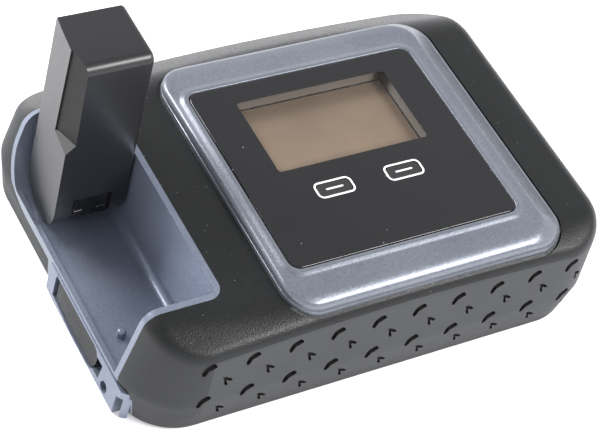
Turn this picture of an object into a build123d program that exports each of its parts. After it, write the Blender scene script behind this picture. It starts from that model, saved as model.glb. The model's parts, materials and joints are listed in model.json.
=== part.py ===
from build123d import *
import math
import os

# Portable satellite communicator: a flat weatherproof case with a glass-fronted display on top and a
# flip-up antenna that folds down into an open bay along the left side.
# Frame: origin at the centre of the case's footprint on the surface it stands on, +X to the right along
# the long side, +Y to the back, +Z up.  All sizes are millimetres.

# ---------------------------------------------------------------- driving sizes: case
body_length = 114.0
body_depth = 82.0
body_height = 28.3          # flat top of the case
corner_radius = 13.0
wall = 2.2
waist_z = 10.0              # height at which the case is widest
base_inset = 1.2            # how much narrower the base is than the waist
left_lean = 3.2             # how far the left wall leans in between waist and top
right_lean = 2.0
front_lean = 0.4
back_lean = 1.0
base_edge_radius = 1.8
rim_radius = 3.8            # rounding where the walls meet the top
shoulder_blend_radius = 14.0
front_shoulder_z = 26.6     # crest of the front shoulder at the front wall
front_shoulder_slope = 26.0
front_shoulder_arch = 560.0
back_shoulder_z = 20.5
back_shoulder_slope = 36.0
back_shoulder_arch = 700.0
parting_z = 4.5             # joint between the lower and the upper case

left, right = -body_length / 2, body_length / 2
front, back = -body_depth / 2, body_depth / 2

# ---------------------------------------------------------------- driving sizes: overmould, seal, screws
overmould_thickness = 1.2
overmould_drop = 1.4        # overmould ends this far below the shoulder edge
overmould_left_gap = 14.0   # the left corners stay bare
overmould_side_top = 23.4   # its upper edge along the right side and the back
overmould_front_band = 2.5
seal_width = 0.7
seal_height = 0.6
boss_radius = 2.8
boss_inset_x = 10.0
boss_inset_y = 7.0
screw_radius = 1.25
screw_head_radius = 2.2
screw_head_height = 1.4
insert_radius = 1.9
insert_length = 5.0

# ---------------------------------------------------------------- driving sizes: antenna bay and side frame
bay_width = 19.0            # from the left face to the bay's right wall
bay_front_gap = 13.0
bay_back_gap = 13.4
bay_floor_z = 8.0
bay_lip_height = 1.5
bay_lip_width = 1.2
tray_wall = 1.4             # the tray's walls show as a rim round the bay
bay_corner_radius = 2.0
bay_front_radius = 1.5
bay_back_radius = 11.5

bay_right = left + bay_width
bay_front = front + bay_front_gap
bay_back = back - bay_back_gap

side_panel_front = front + 10.0
side_panel_back = front + 46.0
side_panel_wall = 2.0
panel_bulge = 0.8           # how far the left panel swells out, from its top edge down to its foot
panel_foot = 1.2
panel_end_radius = 4.0
panel_fade = 14.0           # length over which the swelling dies away at the back
port_recess_front = front + 19.4
port_recess_back = front + 40.7
port_recess_low = 1.4
port_recess_high = 7.6
port_recess_depth = 2.4
port_block_depth = 3.2

# ---------------------------------------------------------------- driving sizes: antenna
knuckle_radius = 8.0
knuckle_floor_gap = 0.5
hinge_back_gap = 11.1
antenna_side_gap = 0.4      # to the bay's right wall
antenna_left_gap = 1.8      # from the case's left face
antenna_tip_gap = 4.0       # between the folded tip and the bay's front wall
antenna_wall = 1.5
antenna_front_taper = 1.8   # how far the front face leans back by the tip
antenna_back_taper = 0.9
antenna_left_slant = 1.6    # how far the left face leans to the right by the back
antenna_edge_radius = 1.2
antenna_tip_radius = 2.2
grip_cut_length = 23.0      # from the tip down
grip_cut_width = 7.6        # back from the front face
grip_cut_step = 0.35        # depth at its back edge ...
grip_cut_depth = 2.3        # ... and at the front face
latch_slot_width = 9.0
latch_slot_low = -3.4       # measured from the hinge's centre
latch_slot_high = 3.0
latch_slot_depth = 1.2
pin_radius = 2.5
pin_bore_radius = 1.2
pin_clearance = 0.05
bracket_length = 5.0

hinge_y = bay_back - hinge_back_gap
hinge_z = bay_floor_z + knuckle_floor_gap + knuckle_radius
antenna_reach = hinge_y - bay_front - antenna_tip_gap
antenna_tip_z = hinge_z + antenna_reach
antenna_right = bay_right - antenna_side_gap
antenna_left = left + antenna_left_gap

# ---------------------------------------------------------------- driving sizes: display
lens_top_z = 31.5
lens_thickness = 1.5
mask_thickness = 0.2
lens_left_gap = 15.95       # from the bay's right wall
lens_right_gap = 23.5       # from the case's right face
lens_front_gap = 11.2
lens_back_gap = 21.05
lens_corner_radius = 2.5
lens_clearance = 0.15
bezel_top_z = 31.4
bezel_base_z = 25.8
bezel_foot_front_z = 26.9   # visible foot of the bezel at the front ...
bezel_foot_back_z = 28.4    # ... and at the back
bezel_left = 3.5
bezel_right = 9.1
bezel_front = 9.1
bezel_back = 9.4
bezel_crown_left = 2.9      # width of the flat crown on each side of the lens
bezel_crown_right = 4.5
bezel_crown_front = 1.8
bezel_crown_back = 8.5
bezel_foot_radius = 7.0
bezel_crown_radius = 5.5
bezel_ledge = 2.3           # ledge under the lens
gasket_width = 0.7
gasket_sink = 0.5

window_left_gap = 9.45
window_right_gap = 9.05
window_front_gap = 24.2
window_back_gap = 5.3
window_radius = 1.6
panel_margin = 2.4
panel_thickness = 2.0
panel_drop = 0.2            # below the mask
holder_wall = 1.1
display_board_z = 24.8
display_board_thickness = 1.0

key_length = 8.1
key_width = 3.4
key_radius = 1.3
key_gap = 0.12
key_flange = 0.8
key_flange_height = 0.8
key_travel = 0.4
key_left_offset = 19.0      # from the lens's left edge to the key's centre
key_right_offset = 36.2
key_front_offset = 17.1
dome_height = 1.0

lens_x0, lens_x1 = bay_right + lens_left_gap, right - lens_right_gap
lens_y0, lens_y1 = front + lens_front_gap, back - lens_back_gap
lens_bottom_z = lens_top_z - lens_thickness
mask_bottom_z = lens_bottom_z - mask_thickness
window = (lens_x0 + window_left_gap, lens_x1 - window_right_gap,
          lens_y0 + window_front_gap, lens_y1 - window_back_gap)
display_board_top = display_board_z + display_board_thickness

# ---------------------------------------------------------------- driving sizes: battery and boards
battery_length = 58.0
battery_width = 44.0
battery_height = 9.2
battery_centre_x = 10.0
battery_clearance = 0.5
battery_z = 1.7
bay_shell = 1.2
door_thickness = 1.2
door_margin = 3.6
door_tab = 6.0
door_gap = 0.2
door_seal_width = 0.9
door_seal_height = 0.7
base_floor = 2.4
board_gap = 1.0
board_thickness = 1.2

battery_x0 = battery_centre_x - battery_length / 2
battery_x1 = battery_centre_x + battery_length / 2
battery_y1 = battery_width / 2
tub_x0, tub_x1 = battery_x0 - battery_clearance, battery_x1 + battery_clearance
tub_y1 = battery_y1 + battery_clearance
tub_roof_z = battery_z + battery_height + battery_clearance
board_z = tub_roof_z + bay_shell + board_gap
board_top_z = board_z + board_thickness
board_x0, board_x1 = bay_right + 8.5, right - 9.0
board_y1 = back - 14.0

# ---------------------------------------------------------------- driving sizes: emergency key
sos_y = 2.0
sos_z = 12.0
sos_pocket_width = 18.0
sos_pocket_height = 12.0
sos_pocket_depth = 3.6
sos_block_wall = 1.6
sos_key_radius = 3.8
sos_key_travel = 0.6
sos_key_rise = 0.7
sos_cover_thickness = 1.3
sos_cover_gap = 0.25


# ---------------------------------------------------------------- small helpers
def slab(x0, x1, y0, y1, z0, z1):
    """A box between two corners."""
    return Pos(x0, y0, z0) * Box(x1 - x0, y1 - y0, z1 - z0, align=(Align.MIN, Align.MIN, Align.MIN))


def rounded_slab(x0, x1, y0, y1, z0, z1, radius):
    """A box with rounded upright edges."""
    outline = Pos((x0 + x1) / 2, (y0 + y1) / 2, z0) * RectangleRounded(x1 - x0, y1 - y0, radius)
    return extrude(outline, z1 - z0)


def post(x, y, z0, z1, radius):
    """An upright cylinder."""
    return Pos(x, y, z0) * Cylinder(radius, z1 - z0, align=(Align.CENTER, Align.CENTER, Align.MIN))


def rod(x0, x1, y, z, radius):
    """A cylinder along X."""
    plane = Plane(origin=(x0, y, z), x_dir=(0, 1, 0), z_dir=(1, 0, 0))
    return plane * Cylinder(radius, x1 - x0, align=(Align.CENTER, Align.CENTER, Align.MIN))


def ring_slab(x0, x1, y0, y1, z0, z1, radius, width):
    """A rounded rectangular ring, width wide, inside the given outline."""
    hole = rounded_slab(x0 + width, x1 - width, y0 + width, y1 - width, z0, z1, max(radius - width, 0.3))
    return rounded_slab(x0, x1, y0, y1, z0, z1, radius) - hole


def shared_edges(face, others):
    """Edges of a face that border any of the other faces."""
    return [e for e in face.edges() if any(e.is_same(g) for f in others for g in f.edges())]


def write(name, shape):
    """Write one sub-part as parts/NAME.step."""
    export_step(shape, "parts/" + name + ".step")


# ---------------------------------------------------------------- outer form of the case
def outline_at(z, inset, grow_left, grow_right, grow_front, grow_back, radius):
    """The case's rounded outline at one height, drawn in by inset and by a lean on each side."""
    x0, x1 = left + grow_left + inset, right - grow_right - inset
    y0, y1 = front + grow_front + inset, back - grow_back - inset
    return Pos((x0 + x1) / 2, (y0 + y1) / 2, z) * RectangleRounded(x1 - x0, y1 - y0, radius - inset)


def shoulder(edge_y, edge_z, slope, arch):
    """Everything below one sloped, gently arched shoulder of the case."""
    angle = math.radians(slope)
    side = 1 if edge_y > 0 else -1
    uphill = Vector(0, -side * math.cos(angle), math.sin(angle))
    outward = Vector(0, side * math.sin(angle), math.cos(angle))
    start = Vector(lens_x0 / 2 + lens_x1 / 2, edge_y, edge_z) - outward * arch - uphill * body_depth
    plane = Plane(origin=start, x_dir=(1, 0, 0), z_dir=uphill)
    return plane * Cylinder(arch, 3 * body_depth, align=(Align.CENTER, Align.CENTER, Align.MIN))


def sharp_form(inset):
    """The case's form before its edges are rounded, smaller all round by inset."""
    base = outline_at(inset, inset, base_inset, base_inset, base_inset, base_inset, corner_radius)
    waist = outline_at(waist_z, inset, 0, 0, 0, 0, corner_radius)
    top = outline_at(body_height - inset, inset, left_lean, right_lean, front_lean, back_lean,
                     corner_radius - 1)
    block = loft([base, waist], ruled=True) + loft([waist, top], ruled=True)
    front_cut = shoulder(front, front_shoulder_z - inset, front_shoulder_slope, front_shoulder_arch)
    back_cut = shoulder(back, back_shoulder_z - inset, back_shoulder_slope, back_shoulder_arch)
    return (block & front_cut & back_cut).solid()


def case_form():
    """The case's outer form, with rounded shoulders, rim and base edge."""
    form = sharp_form(0)
    top = form.faces().filter_by(GeomType.PLANE).sort_by(Axis.Z)[-1]
    slopes = form.faces().filter_by(GeomType.CYLINDER)
    form = fillet(shared_edges(top, slopes), shoulder_blend_radius).solid()
    walls = [f for f in form.faces() if abs(f.normal_at().Z) < 0.45]
    uppers = [f for f in form.faces() if f.normal_at().Z > 0.6]
    form = fillet([e for f in uppers for e in shared_edges(f, walls)], rim_radius).solid()
    base = form.faces().filter_by(GeomType.PLANE).sort_by(Axis.Z)[0]
    return fillet(base.edges(), base_edge_radius).solid()


form = case_form()
cavity = sharp_form(wall)
far = body_length               # a reach beyond the case, for cutting tools


# ---------------------------------------------------------------- antenna bay
def bay_profile(x0, x1, floor_z, grow):
    """The bay's side profile, swept along X: straight front, rounded back."""
    y0, y1, z0 = bay_front - grow, bay_back + grow, floor_z - grow
    high = body_height + 20.0
    points = [(y0, z0), (y1, z0), (y1, high), (y0, high)]
    plane = Plane(origin=(x0, 0, 0), x_dir=(0, 1, 0), z_dir=(1, 0, 0))
    face = plane * make_face(Polyline(points, close=True))
    prism = extrude(face, x1 - x0)
    lows = prism.edges().filter_by(Axis.X).sort_by(Axis.Z)[:2].sort_by(Axis.Y)
    prism = fillet(lows[0], bay_front_radius + grow)
    lows = prism.edges().filter_by(Axis.X).sort_by(Axis.Z)[:3].sort_by(Axis.Y)
    return fillet(lows[-1], bay_back_radius + grow).solid()


def rounded_bay(x1, floor_z, grow):
    """The bay's whole hollow up to its right wall, with rounded upright corners."""
    prism = bay_profile(left - 10.0, x1 + grow, floor_z, grow)
    uprights = [e for e in prism.edges().filter_by(Axis.Z) if e.center().X > x1 - 1.0]
    return fillet(uprights, bay_corner_radius + grow).solid()


bay_hollow = rounded_bay(bay_right, bay_floor_z, 0.0)
bay_lip = bay_profile(left - 1.0, left + bay_lip_width, bay_floor_z, 0.2)
bay_lip &= slab(-far, far, bay_front - 1.0, bay_back + 1.0, 0, bay_floor_z + bay_lip_height)
tray_outer = rounded_bay(bay_right, bay_floor_z, tray_wall)

side_panel_box = slab(-far, left + 8.0, side_panel_front, side_panel_back, -1.0, bay_floor_z)


def make_panel_bulge():
    """The left panel's swelling: flush with the wall at the bay's floor and proud near the foot."""
    outside = left - panel_bulge
    points = [(left + side_panel_wall, 0.0), (outside + panel_foot / 2, 0.0), (outside, panel_foot),
              (left, bay_floor_z), (left + side_panel_wall, bay_floor_z)]
    y0, y1 = side_panel_front - 2.4, side_panel_back - 2.0
    plane = Plane(origin=(0, y0, 0), x_dir=(1, 0, 0), z_dir=(0, -1, 0))
    prism = extrude(plane * make_face(Polyline(points, close=True)), y0 - y1)
    inside = left + 12.0
    plan = Polyline((inside, y0), (outside, y0), (outside, y1 - panel_fade), (left, y1), (inside, y1), close=True)
    block = extrude(make_face(plan), bay_floor_z)
    front_edge = [e for e in block.edges().filter_by(Axis.Z) if e.center().X < left and e.center().Y < y0 + 1]
    return prism & fillet(front_edge, panel_end_radius)


side_bulge = make_panel_bulge()

# ---------------------------------------------------------------- port recess and lanyard eye
recess_floor_x = left + port_recess_depth
port_recess = slab(-far, recess_floor_x, port_recess_front, port_recess_back,
                   port_recess_low, port_recess_high)
recess_ends = [e for e in port_recess.edges().filter_by(Axis.X) if e.center().Y < port_recess_front + 1]
port_recess = fillet(recess_ends, 2.6)
finger_scoop = slab(-far, left + 1.9, port_recess_front - 2.2, port_recess_front + 1.0,
                    port_recess_low + 1.2, port_recess_high - 1.2)
port_block = slab(recess_floor_x - 1.0, recess_floor_x + port_block_depth, port_recess_front - 1.2,
                  port_recess_back + 1.0, 0.6, bay_floor_z - tray_wall)

usb_y = port_recess_back - 5.5
rf_y = port_recess_front + 5.5
port_z = 4.7
usb_width, usb_height = 8.0, 2.8
rf_radius = 1.6

lanyard_y = side_panel_front + 4.6
lanyard_z = 3.0
lanyard_radius = 1.3
lanyard_block = slab(left + 0.4, left + 6.6, side_panel_front - 2.6, port_recess_front - 1.2, 0.6,
                     bay_floor_z - tray_wall)
lanyard_notch = slab(-far, left + 5.4, side_panel_front - 1.4, side_panel_front, -1.0, 6.0)
lanyard_channel = slab(left + 3.4, left + 5.4, side_panel_front - 1.0, lanyard_y + lanyard_radius,
                       lanyard_z - lanyard_radius, lanyard_z + lanyard_radius)


def make_side_frame():
    """Painted moulding: the antenna bay's tray, the left panel with its ports, and the lanyard eye."""
    tray = (tray_outer & form) - bay_hollow
    tray += (bay_lip & form)
    panel = (form - sharp_form(side_panel_wall)) & side_panel_box
    frame = tray + panel + side_bulge + ((port_block + lanyard_block) & form)
    frame -= port_recess + finger_scoop + lanyard_notch + lanyard_channel
    frame -= rod(left - 5.0, left + 5.4, lanyard_y, lanyard_z, lanyard_radius)
    frame -= slab(-far, left + 8.0, usb_y - usb_width / 2, usb_y + usb_width / 2,
                  port_z - usb_height / 2, port_z + usb_height / 2)
    frame -= rod(left - 5.0, left + 8.0, rf_y, port_z, rf_radius)
    frame -= rod(bay_right - 1.0, bay_right + tray_wall + 1.0, hinge_y, hinge_z, pin_radius + 0.2)
    return frame


side_frame = make_side_frame()

# ---------------------------------------------------------------- emergency key pocket
sos_pocket = rounded_slab(-sos_pocket_width / 2, sos_pocket_width / 2, -sos_pocket_height / 2,
                          sos_pocket_height / 2, 0, 20.0, 1.6)
sos_floor_x = right - sos_pocket_depth
sos_plane = Plane(origin=(sos_floor_x, sos_y, sos_z), x_dir=(0, 1, 0), z_dir=(1, 0, 0))
sos_pocket = sos_plane * sos_pocket
sos_block = slab(sos_floor_x - sos_block_wall, right - 1.0,
                 sos_y - sos_pocket_width / 2 - 1.4, sos_y + sos_pocket_width / 2 + 1.4,
                 sos_z - sos_pocket_height / 2 - 1.4, sos_z + sos_pocket_height / 2 + 1.4)

# ---------------------------------------------------------------- overmould
overmould_zone = slab(left + overmould_left_gap, far, -far, far, parting_z, body_height)
overmould_zone &= shoulder(front, front_shoulder_z - overmould_drop, front_shoulder_slope,
                           front_shoulder_arch)
overmould_zone &= shoulder(back, back_shoulder_z - overmould_drop, back_shoulder_slope,
                           back_shoulder_arch)
overmould_zone -= slab(-far, far, front + overmould_front_band, far, overmould_side_top, far)
grip_overmould = (form - sharp_form(overmould_thickness)) & overmould_zone
grip_overmould -= sos_pocket

# ---------------------------------------------------------------- bezel outlines
foot = (lens_x0 - bezel_left, lens_x1 + bezel_right, lens_y0 - bezel_front, lens_y1 + bezel_back)
crown = (lens_x0 - bezel_crown_left, lens_x1 + bezel_crown_right,
         lens_y0 - bezel_crown_front, lens_y1 + bezel_crown_back)
ledge = (lens_x0 + bezel_ledge, lens_x1 - bezel_ledge, lens_y0 + bezel_ledge, lens_y1 - bezel_ledge)


def rectangle_on(plane, box, radius):
    """A rounded rectangle with the given x and y limits, laid on a plane."""
    x0, x1, y0, y1 = box
    return plane * Pos((x0 + x1) / 2, (y0 + y1) / 2) * RectangleRounded(x1 - x0, y1 - y0, radius)


bezel_seat = rounded_slab(foot[0] - gasket_width, foot[1] + gasket_width, foot[2] - gasket_width,
                          foot[3] + gasket_width, bezel_base_z, far, bezel_foot_radius + gasket_width)
grip_overmould -= bezel_seat
display_opening = rounded_slab(*ledge, 20.0, far, 1.5)

# ---------------------------------------------------------------- case shells
boss_spots = [(sx * (right - boss_inset_x), sy * (back - boss_inset_y)) for sx in (-1, 1)
              for sy in (-1, 1)]
insert_z = parting_z + 0.5


def make_front_case():
    """Upper shell: top, walls down to the parting line, screw bosses and the emergency key's pocket."""
    shell = (form - cavity) & slab(-far, far, -far, far, parting_z, far)
    for x, y in boss_spots:
        shell += post(x, y, parting_z, body_height - wall, boss_radius) & form
    shell += sos_block & form
    shell -= grip_overmould + sos_pocket
    shell -= rod(sos_floor_x - 10.0, right, sos_y, sos_z, sos_key_radius + 0.15)
    shell -= bay_hollow + side_panel_box + lanyard_notch
    shell -= bezel_seat + display_opening
    shell -= side_frame
    for x, y in boss_spots:
        shell -= post(x, y, insert_z - 1.0, insert_z + insert_length, insert_radius)
        shell -= post(x, y, insert_z, insert_z + insert_length + 3.0, screw_radius + 0.1)
    return shell.solids().sort_by(SortBy.VOLUME)[-1]


door_x0, door_x1 = tub_x0 - door_margin - door_tab, tub_x1 + door_margin
door_y1 = tub_y1 + door_margin
door_screw_x = door_x0 + 3.4
door_boss_top = 8.0
door_seal_box = (tub_x0 - 2.0, tub_x1 + 2.0, -tub_y1 - 2.0, tub_y1 + 2.0)
contact_y = 6.0
contact_low, contact_high = 4.0, 9.0
board_posts = [(x, y) for x in (battery_x0 + 3.0, battery_x1 - 3.0) for y in (-19.0, 19.0)]


def make_rear_case():
    """Lower shell: base, screw seats, and the battery's tub with posts for the main board."""
    inner = sharp_form(wall) & slab(-far, far, -far, far, base_floor, far)
    shell = (form - inner) & slab(-far, far, -far, far, -1.0, parting_z)
    tub = rounded_slab(tub_x0 - bay_shell, tub_x1 + bay_shell, -tub_y1 - bay_shell, tub_y1 + bay_shell,
                       base_floor - 0.5, tub_roof_z + bay_shell, 2.0)
    shell += tub + post(door_screw_x, 0, base_floor - 0.5, door_boss_top, boss_radius)
    for x, y in boss_spots:
        shell += post(x, y, 1.0, parting_z, boss_radius) & form
    for x, y in board_posts:
        shell += post(x, y, tub_roof_z, board_z, 2.0)
        shell -= post(x, y, tub_roof_z + 0.4, board_z + 1.0, 0.8)
    shell -= rounded_slab(tub_x0, tub_x1, -tub_y1, tub_y1, -1.0, tub_roof_z, 1.0)
    shell -= rounded_slab(door_x0 - door_gap, door_x1 + door_gap, -door_y1 - door_gap,
                          door_y1 + door_gap, -1.0, door_thickness, 3.0 + door_gap)
    shell -= ring_slab(*door_seal_box, door_thickness, door_thickness + door_seal_height, 2.5,
                       door_seal_width)
    shell -= post(door_screw_x, 0, 0, 6.5, insert_radius)
    shell -= slab(tub_x0 - bay_shell - 1, tub_x0 + 1, -contact_y, contact_y, contact_low, contact_high)
    for x, y in boss_spots:
        shell -= post(x, y, -1.0, 0.4 + screw_head_height, screw_head_radius + 0.15)
        shell -= post(x, y, 0.0, parting_z + 1.0, screw_radius + 0.15)
    shell -= side_panel_box + lanyard_notch
    shell -= side_frame
    return shell.solids().sort_by(SortBy.VOLUME)[-1]


seal_outer, seal_inner = sharp_form(0.8), sharp_form(0.8 + seal_width)
case_seal = (seal_outer - seal_inner) & slab(-far, far, -far, far, parting_z - seal_height, parting_z)
case_seal -= side_panel_box + lanyard_notch + side_frame
case_seal = case_seal.solids().sort_by(SortBy.VOLUME)[-1]


def make_case_screws():
    """Four screws that close the case from below, each with a cross slot."""
    screws = []
    for x, y in boss_spots:
        head = post(x, y, 0.4, 0.4 + screw_head_height, screw_head_radius)
        shank = post(x, y, 0.4, insert_z + insert_length + 1.0, screw_radius)
        slot = slab(x - 1.3, x + 1.3, y - 0.3, y + 0.3, 0.3, 1.0)
        cross = slab(x - 0.3, x + 0.3, y - 1.3, y + 1.3, 0.3, 1.0)
        screws.append(head + shank - slot - cross)
    return Compound(screws)


def make_inserts():
    """Brass inserts in the four bosses."""
    inserts = []
    for x, y in boss_spots:
        tube = post(x, y, insert_z, insert_z + insert_length, insert_radius)
        inserts.append(tube - post(x, y, insert_z, insert_z + insert_length, screw_radius + 0.03))
    return Compound(inserts)


# ---------------------------------------------------------------- display
def make_bezel():
    """Painted frame round the lens: upright foot, long front ramp, sloped right flank, flat crown."""
    length = foot[3] - foot[2]
    tilt = math.degrees(math.atan2(bezel_foot_back_z - bezel_foot_front_z, length))
    foot_plane = Plane(origin=(0, foot[2], bezel_foot_front_z)).rotated((tilt, 0, 0))
    stretch = length / math.cos(math.radians(tilt))
    low = rectangle_on(Plane.XY.offset(bezel_base_z), foot, bezel_foot_radius)
    mid = rectangle_on(foot_plane, (foot[0], foot[1], 0, stretch), bezel_foot_radius)
    high = rectangle_on(Plane.XY.offset(bezel_top_z), crown, bezel_crown_radius)
    block = (loft([low, mid], ruled=True) + loft([mid, high], ruled=True)).solid()
    top = block.faces().sort_by(Axis.Z)[-1]
    block = fillet(top.edges(), 0.7).solid()
    lens_seat = rounded_slab(lens_x0 - lens_clearance, lens_x1 + lens_clearance,
                             lens_y0 - lens_clearance, lens_y1 + lens_clearance,
                             mask_bottom_z, far, lens_corner_radius + lens_clearance)
    return block - lens_seat - display_opening


def make_gasket():
    """Rubber ring that fills the groove between the bezel's foot and the case."""
    ring = ring_slab(foot[0] - gasket_width, foot[1] + gasket_width, foot[2] - gasket_width,
                     foot[3] + gasket_width, bezel_base_z, body_height, bezel_foot_radius + gasket_width,
                     gasket_width)
    return ring & sharp_form(gasket_sink)


key_spots = {"left_soft_key": lens_x0 + key_left_offset, "right_soft_key": lens_x0 + key_right_offset}
key_y = lens_y0 + key_front_offset


def key_prism(x, grow, z0, z1):
    """A soft key's rounded outline as an upright prism, larger all round by grow."""
    return rounded_slab(x - key_length / 2 - grow, x + key_length / 2 + grow, key_y - key_width / 2 - grow,
                        key_y + key_width / 2 + grow, z0, z1, key_radius + grow)


def make_lens():
    """Clear cover with holes for the two soft keys."""
    lens = rounded_slab(lens_x0, lens_x1, lens_y0, lens_y1, lens_bottom_z, lens_top_z,
                        lens_corner_radius)
    lens = chamfer(lens.faces().sort_by(Axis.Z)[-1].edges(), 0.2)
    for x in key_spots.values():
        lens -= key_prism(x, key_gap, lens_bottom_z - 1, lens_top_z + 1)
    return lens


def make_mask():
    """Black film under the lens that leaves the display's window clear."""
    mask = rounded_slab(lens_x0, lens_x1, lens_y0, lens_y1, mask_bottom_z, lens_bottom_z,
                        lens_corner_radius)
    mask -= rounded_slab(*window, mask_bottom_z - 1, lens_bottom_z + 1, window_radius)
    for x in key_spots.values():
        mask -= key_prism(x, key_gap, mask_bottom_z - 1, lens_bottom_z + 1)
    return mask


panel_box = (window[0] - panel_margin, window[1] + panel_margin, window[2] - panel_margin,
             min(window[3] + panel_margin, lens_y1 - bezel_ledge - holder_wall - 0.2))
panel_top_z = mask_bottom_z - panel_drop
panel_bottom_z = panel_top_z - panel_thickness


def make_panel_holder():
    """Frame that holds the display panel between the display board and the mask."""
    outer = slab(panel_box[0] - holder_wall, panel_box[1] + holder_wall, panel_box[2] - holder_wall,
                 panel_box[3] + holder_wall, display_board_top, panel_top_z)
    seat = slab(*panel_box, panel_bottom_z, panel_top_z)
    hollow = slab(panel_box[0] + 2.0, panel_box[1] - 2.0, panel_box[2] + 2.0, panel_box[3] - 2.0,
                  display_board_top, panel_top_z)
    return outer - seat - hollow


display_board = slab(ledge[0] - 1.0, ledge[1] + 1.0, ledge[2] - 1.0, ledge[3] + 1.0, display_board_z,
                     display_board_top)


def make_soft_key(x):
    """One soft key: a cap flush with the lens, a flange under the mask and a post over its dome."""
    flange_top = mask_bottom_z - 0.05
    cap = key_prism(x, 0.0, flange_top - key_flange_height, lens_top_z)
    cap = chamfer(cap.faces().sort_by(Axis.Z)[-1].edges(), 0.15)
    flange = key_prism(x, key_flange, flange_top - key_flange_height, flange_top)
    stem = post(x, key_y, display_board_top + dome_height + key_travel + 0.05, flange_top, 1.2)
    return cap + flange + stem


def make_domes():
    """Two snap domes on the display board, under the keys' stems."""
    domes = []
    for x in key_spots.values():
        disc = post(x, key_y, display_board_top, display_board_top + dome_height, 2.4)
        domes.append(chamfer(disc.faces().sort_by(Axis.Z)[-1].edges(), 0.6))
    return Compound(domes)


# ---------------------------------------------------------------- boards and modules
main_board = rounded_slab(board_x0, board_x1, -board_y1, board_y1, board_z, board_top_z, 2.0)
for spot_x, spot_y in board_posts:
    main_board -= post(spot_x, spot_y, board_z - 1, board_top_z + 1, 1.1)


def make_board_screws():
    """Four small screws that hold the main board on its posts."""
    screws = []
    for x, y in board_posts:
        shank = post(x, y, tub_roof_z + 1.0, board_top_z, 0.75)
        screws.append(shank + post(x, y, board_top_z, board_top_z + 1.0, 1.8))
    return Compound(screws)


modem = (battery_x0 + 7.0, battery_x1 - 9.0, -17.0, 11.0)
modem_top_z = board_top_z + 4.4
modem_module = slab(*modem, board_top_z, modem_top_z)
heat_spreader = slab(modem[0] + 1, modem[1] - 1, modem[2] + 1, modem[3] - 1, modem_top_z,
                     modem_top_z + 0.8)


def make_shield_cans():
    """Two folded shield cans, open below, on the main board."""
    cans = []
    for y0, y1 in ((-17.0, -9.5), (-8.0, 0.0)):
        outer = slab(board_x1 - 14.0, board_x1 - 2.0, y0, y1, board_top_z, board_top_z + 2.6)
        inner = slab(board_x1 - 13.6, board_x1 - 2.4, y0 + 0.4, y1 - 0.4, board_top_z, board_top_z + 2.2)
        cans.append(outer - inner)
    return Compound(cans)


sim_box = (board_x1 - 15.0, board_x1 - 1.0, 3.0, 17.0)
sim_holder = slab(*sim_box, board_top_z, board_top_z + 1.6)
sim_holder -= slab(sim_box[0] + 0.8, sim_box[1] + 1.0, sim_box[2] + 0.8, sim_box[3] - 0.8,
                   board_top_z + 0.4, board_top_z + 1.2)
sim_card = slab(sim_box[0] + 1.0, sim_box[1] - 0.4, sim_box[2] + 1.0, sim_box[3] - 1.0,
                board_top_z + 0.4, board_top_z + 1.1)
wifi_antenna = slab(12.0, 34.0, board_y1 - 6.0, board_y1 - 2.0, board_top_z, board_top_z + 1.6)
buzzer = post(board_x0 + 7.0, -board_y1 + 7.0, board_top_z, board_top_z + 3.2, 4.6)
display_flex = slab(0.0, 12.0, modem[3] + 2.0, modem[3] + 2.3, board_top_z, display_board_z)

io_board_z = port_z - usb_height / 2 - 0.8
io_board = slab(recess_floor_x + port_block_depth, bay_right + 2.0, port_recess_front + 1.0,
                port_recess_back - 0.5, io_board_z, io_board_z + 0.8)
usb_connector = slab(recess_floor_x + 0.4, bay_right - 9.0, usb_y - usb_width / 2, usb_y + usb_width / 2,
                     port_z - usb_height / 2, port_z + usb_height / 2)
usb_connector -= slab(recess_floor_x, recess_floor_x + 5.4, usb_y - usb_width / 2 + 0.5,
                      usb_y + usb_width / 2 - 0.5, port_z - 0.9, port_z + 0.9)
usb_connector -= slab(recess_floor_x, recess_floor_x + port_block_depth, -far, far, -far, 0.0)
rf_jack = rod(recess_floor_x + 0.4, recess_floor_x + port_block_depth, rf_y, port_z, rf_radius)
rf_jack += slab(recess_floor_x + port_block_depth, recess_floor_x + port_block_depth + 4.0,
                rf_y - 2.0, rf_y + 2.0, io_board_z + 0.8, bay_floor_z - tray_wall - 0.1)
rf_jack -= rod(recess_floor_x, recess_floor_x + 2.6, rf_y, port_z, rf_radius - 0.6)
rf_jack += rod(recess_floor_x + 1.0, recess_floor_x + 3.0, rf_y, port_z, 0.35)

flex_y = (port_recess_front + 6.0, port_recess_front + 14.0)
flex_x = bay_right + 4.0
io_flex = slab(bay_right + 2.0, flex_x, *flex_y, io_board_z + 0.25, io_board_z + 0.55)
io_flex += slab(flex_x, flex_x + 0.3, *flex_y, io_board_z + 0.25, board_z + 0.6)
io_flex += slab(flex_x, board_x0, *flex_y, board_z + 0.3, board_z + 0.6)

# ---------------------------------------------------------------- battery and its door
battery_pack = rounded_slab(battery_x0, battery_x1, -battery_y1, battery_y1, battery_z,
                            battery_z + battery_height, 1.5)
battery_pack = chamfer(battery_pack.faces().sort_by(Axis.Z)[-1].edges(), 0.5)
contact_block = slab(tub_x0 - bay_shell, tub_x0, -contact_y, contact_y, contact_low, contact_high)
for pad_y in (-3.6, 0.0, 3.6):
    contact_block += slab(tub_x0, battery_x0 - 0.05, pad_y - 0.7, pad_y + 0.7, contact_low + 1,
                          contact_high - 1)


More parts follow.
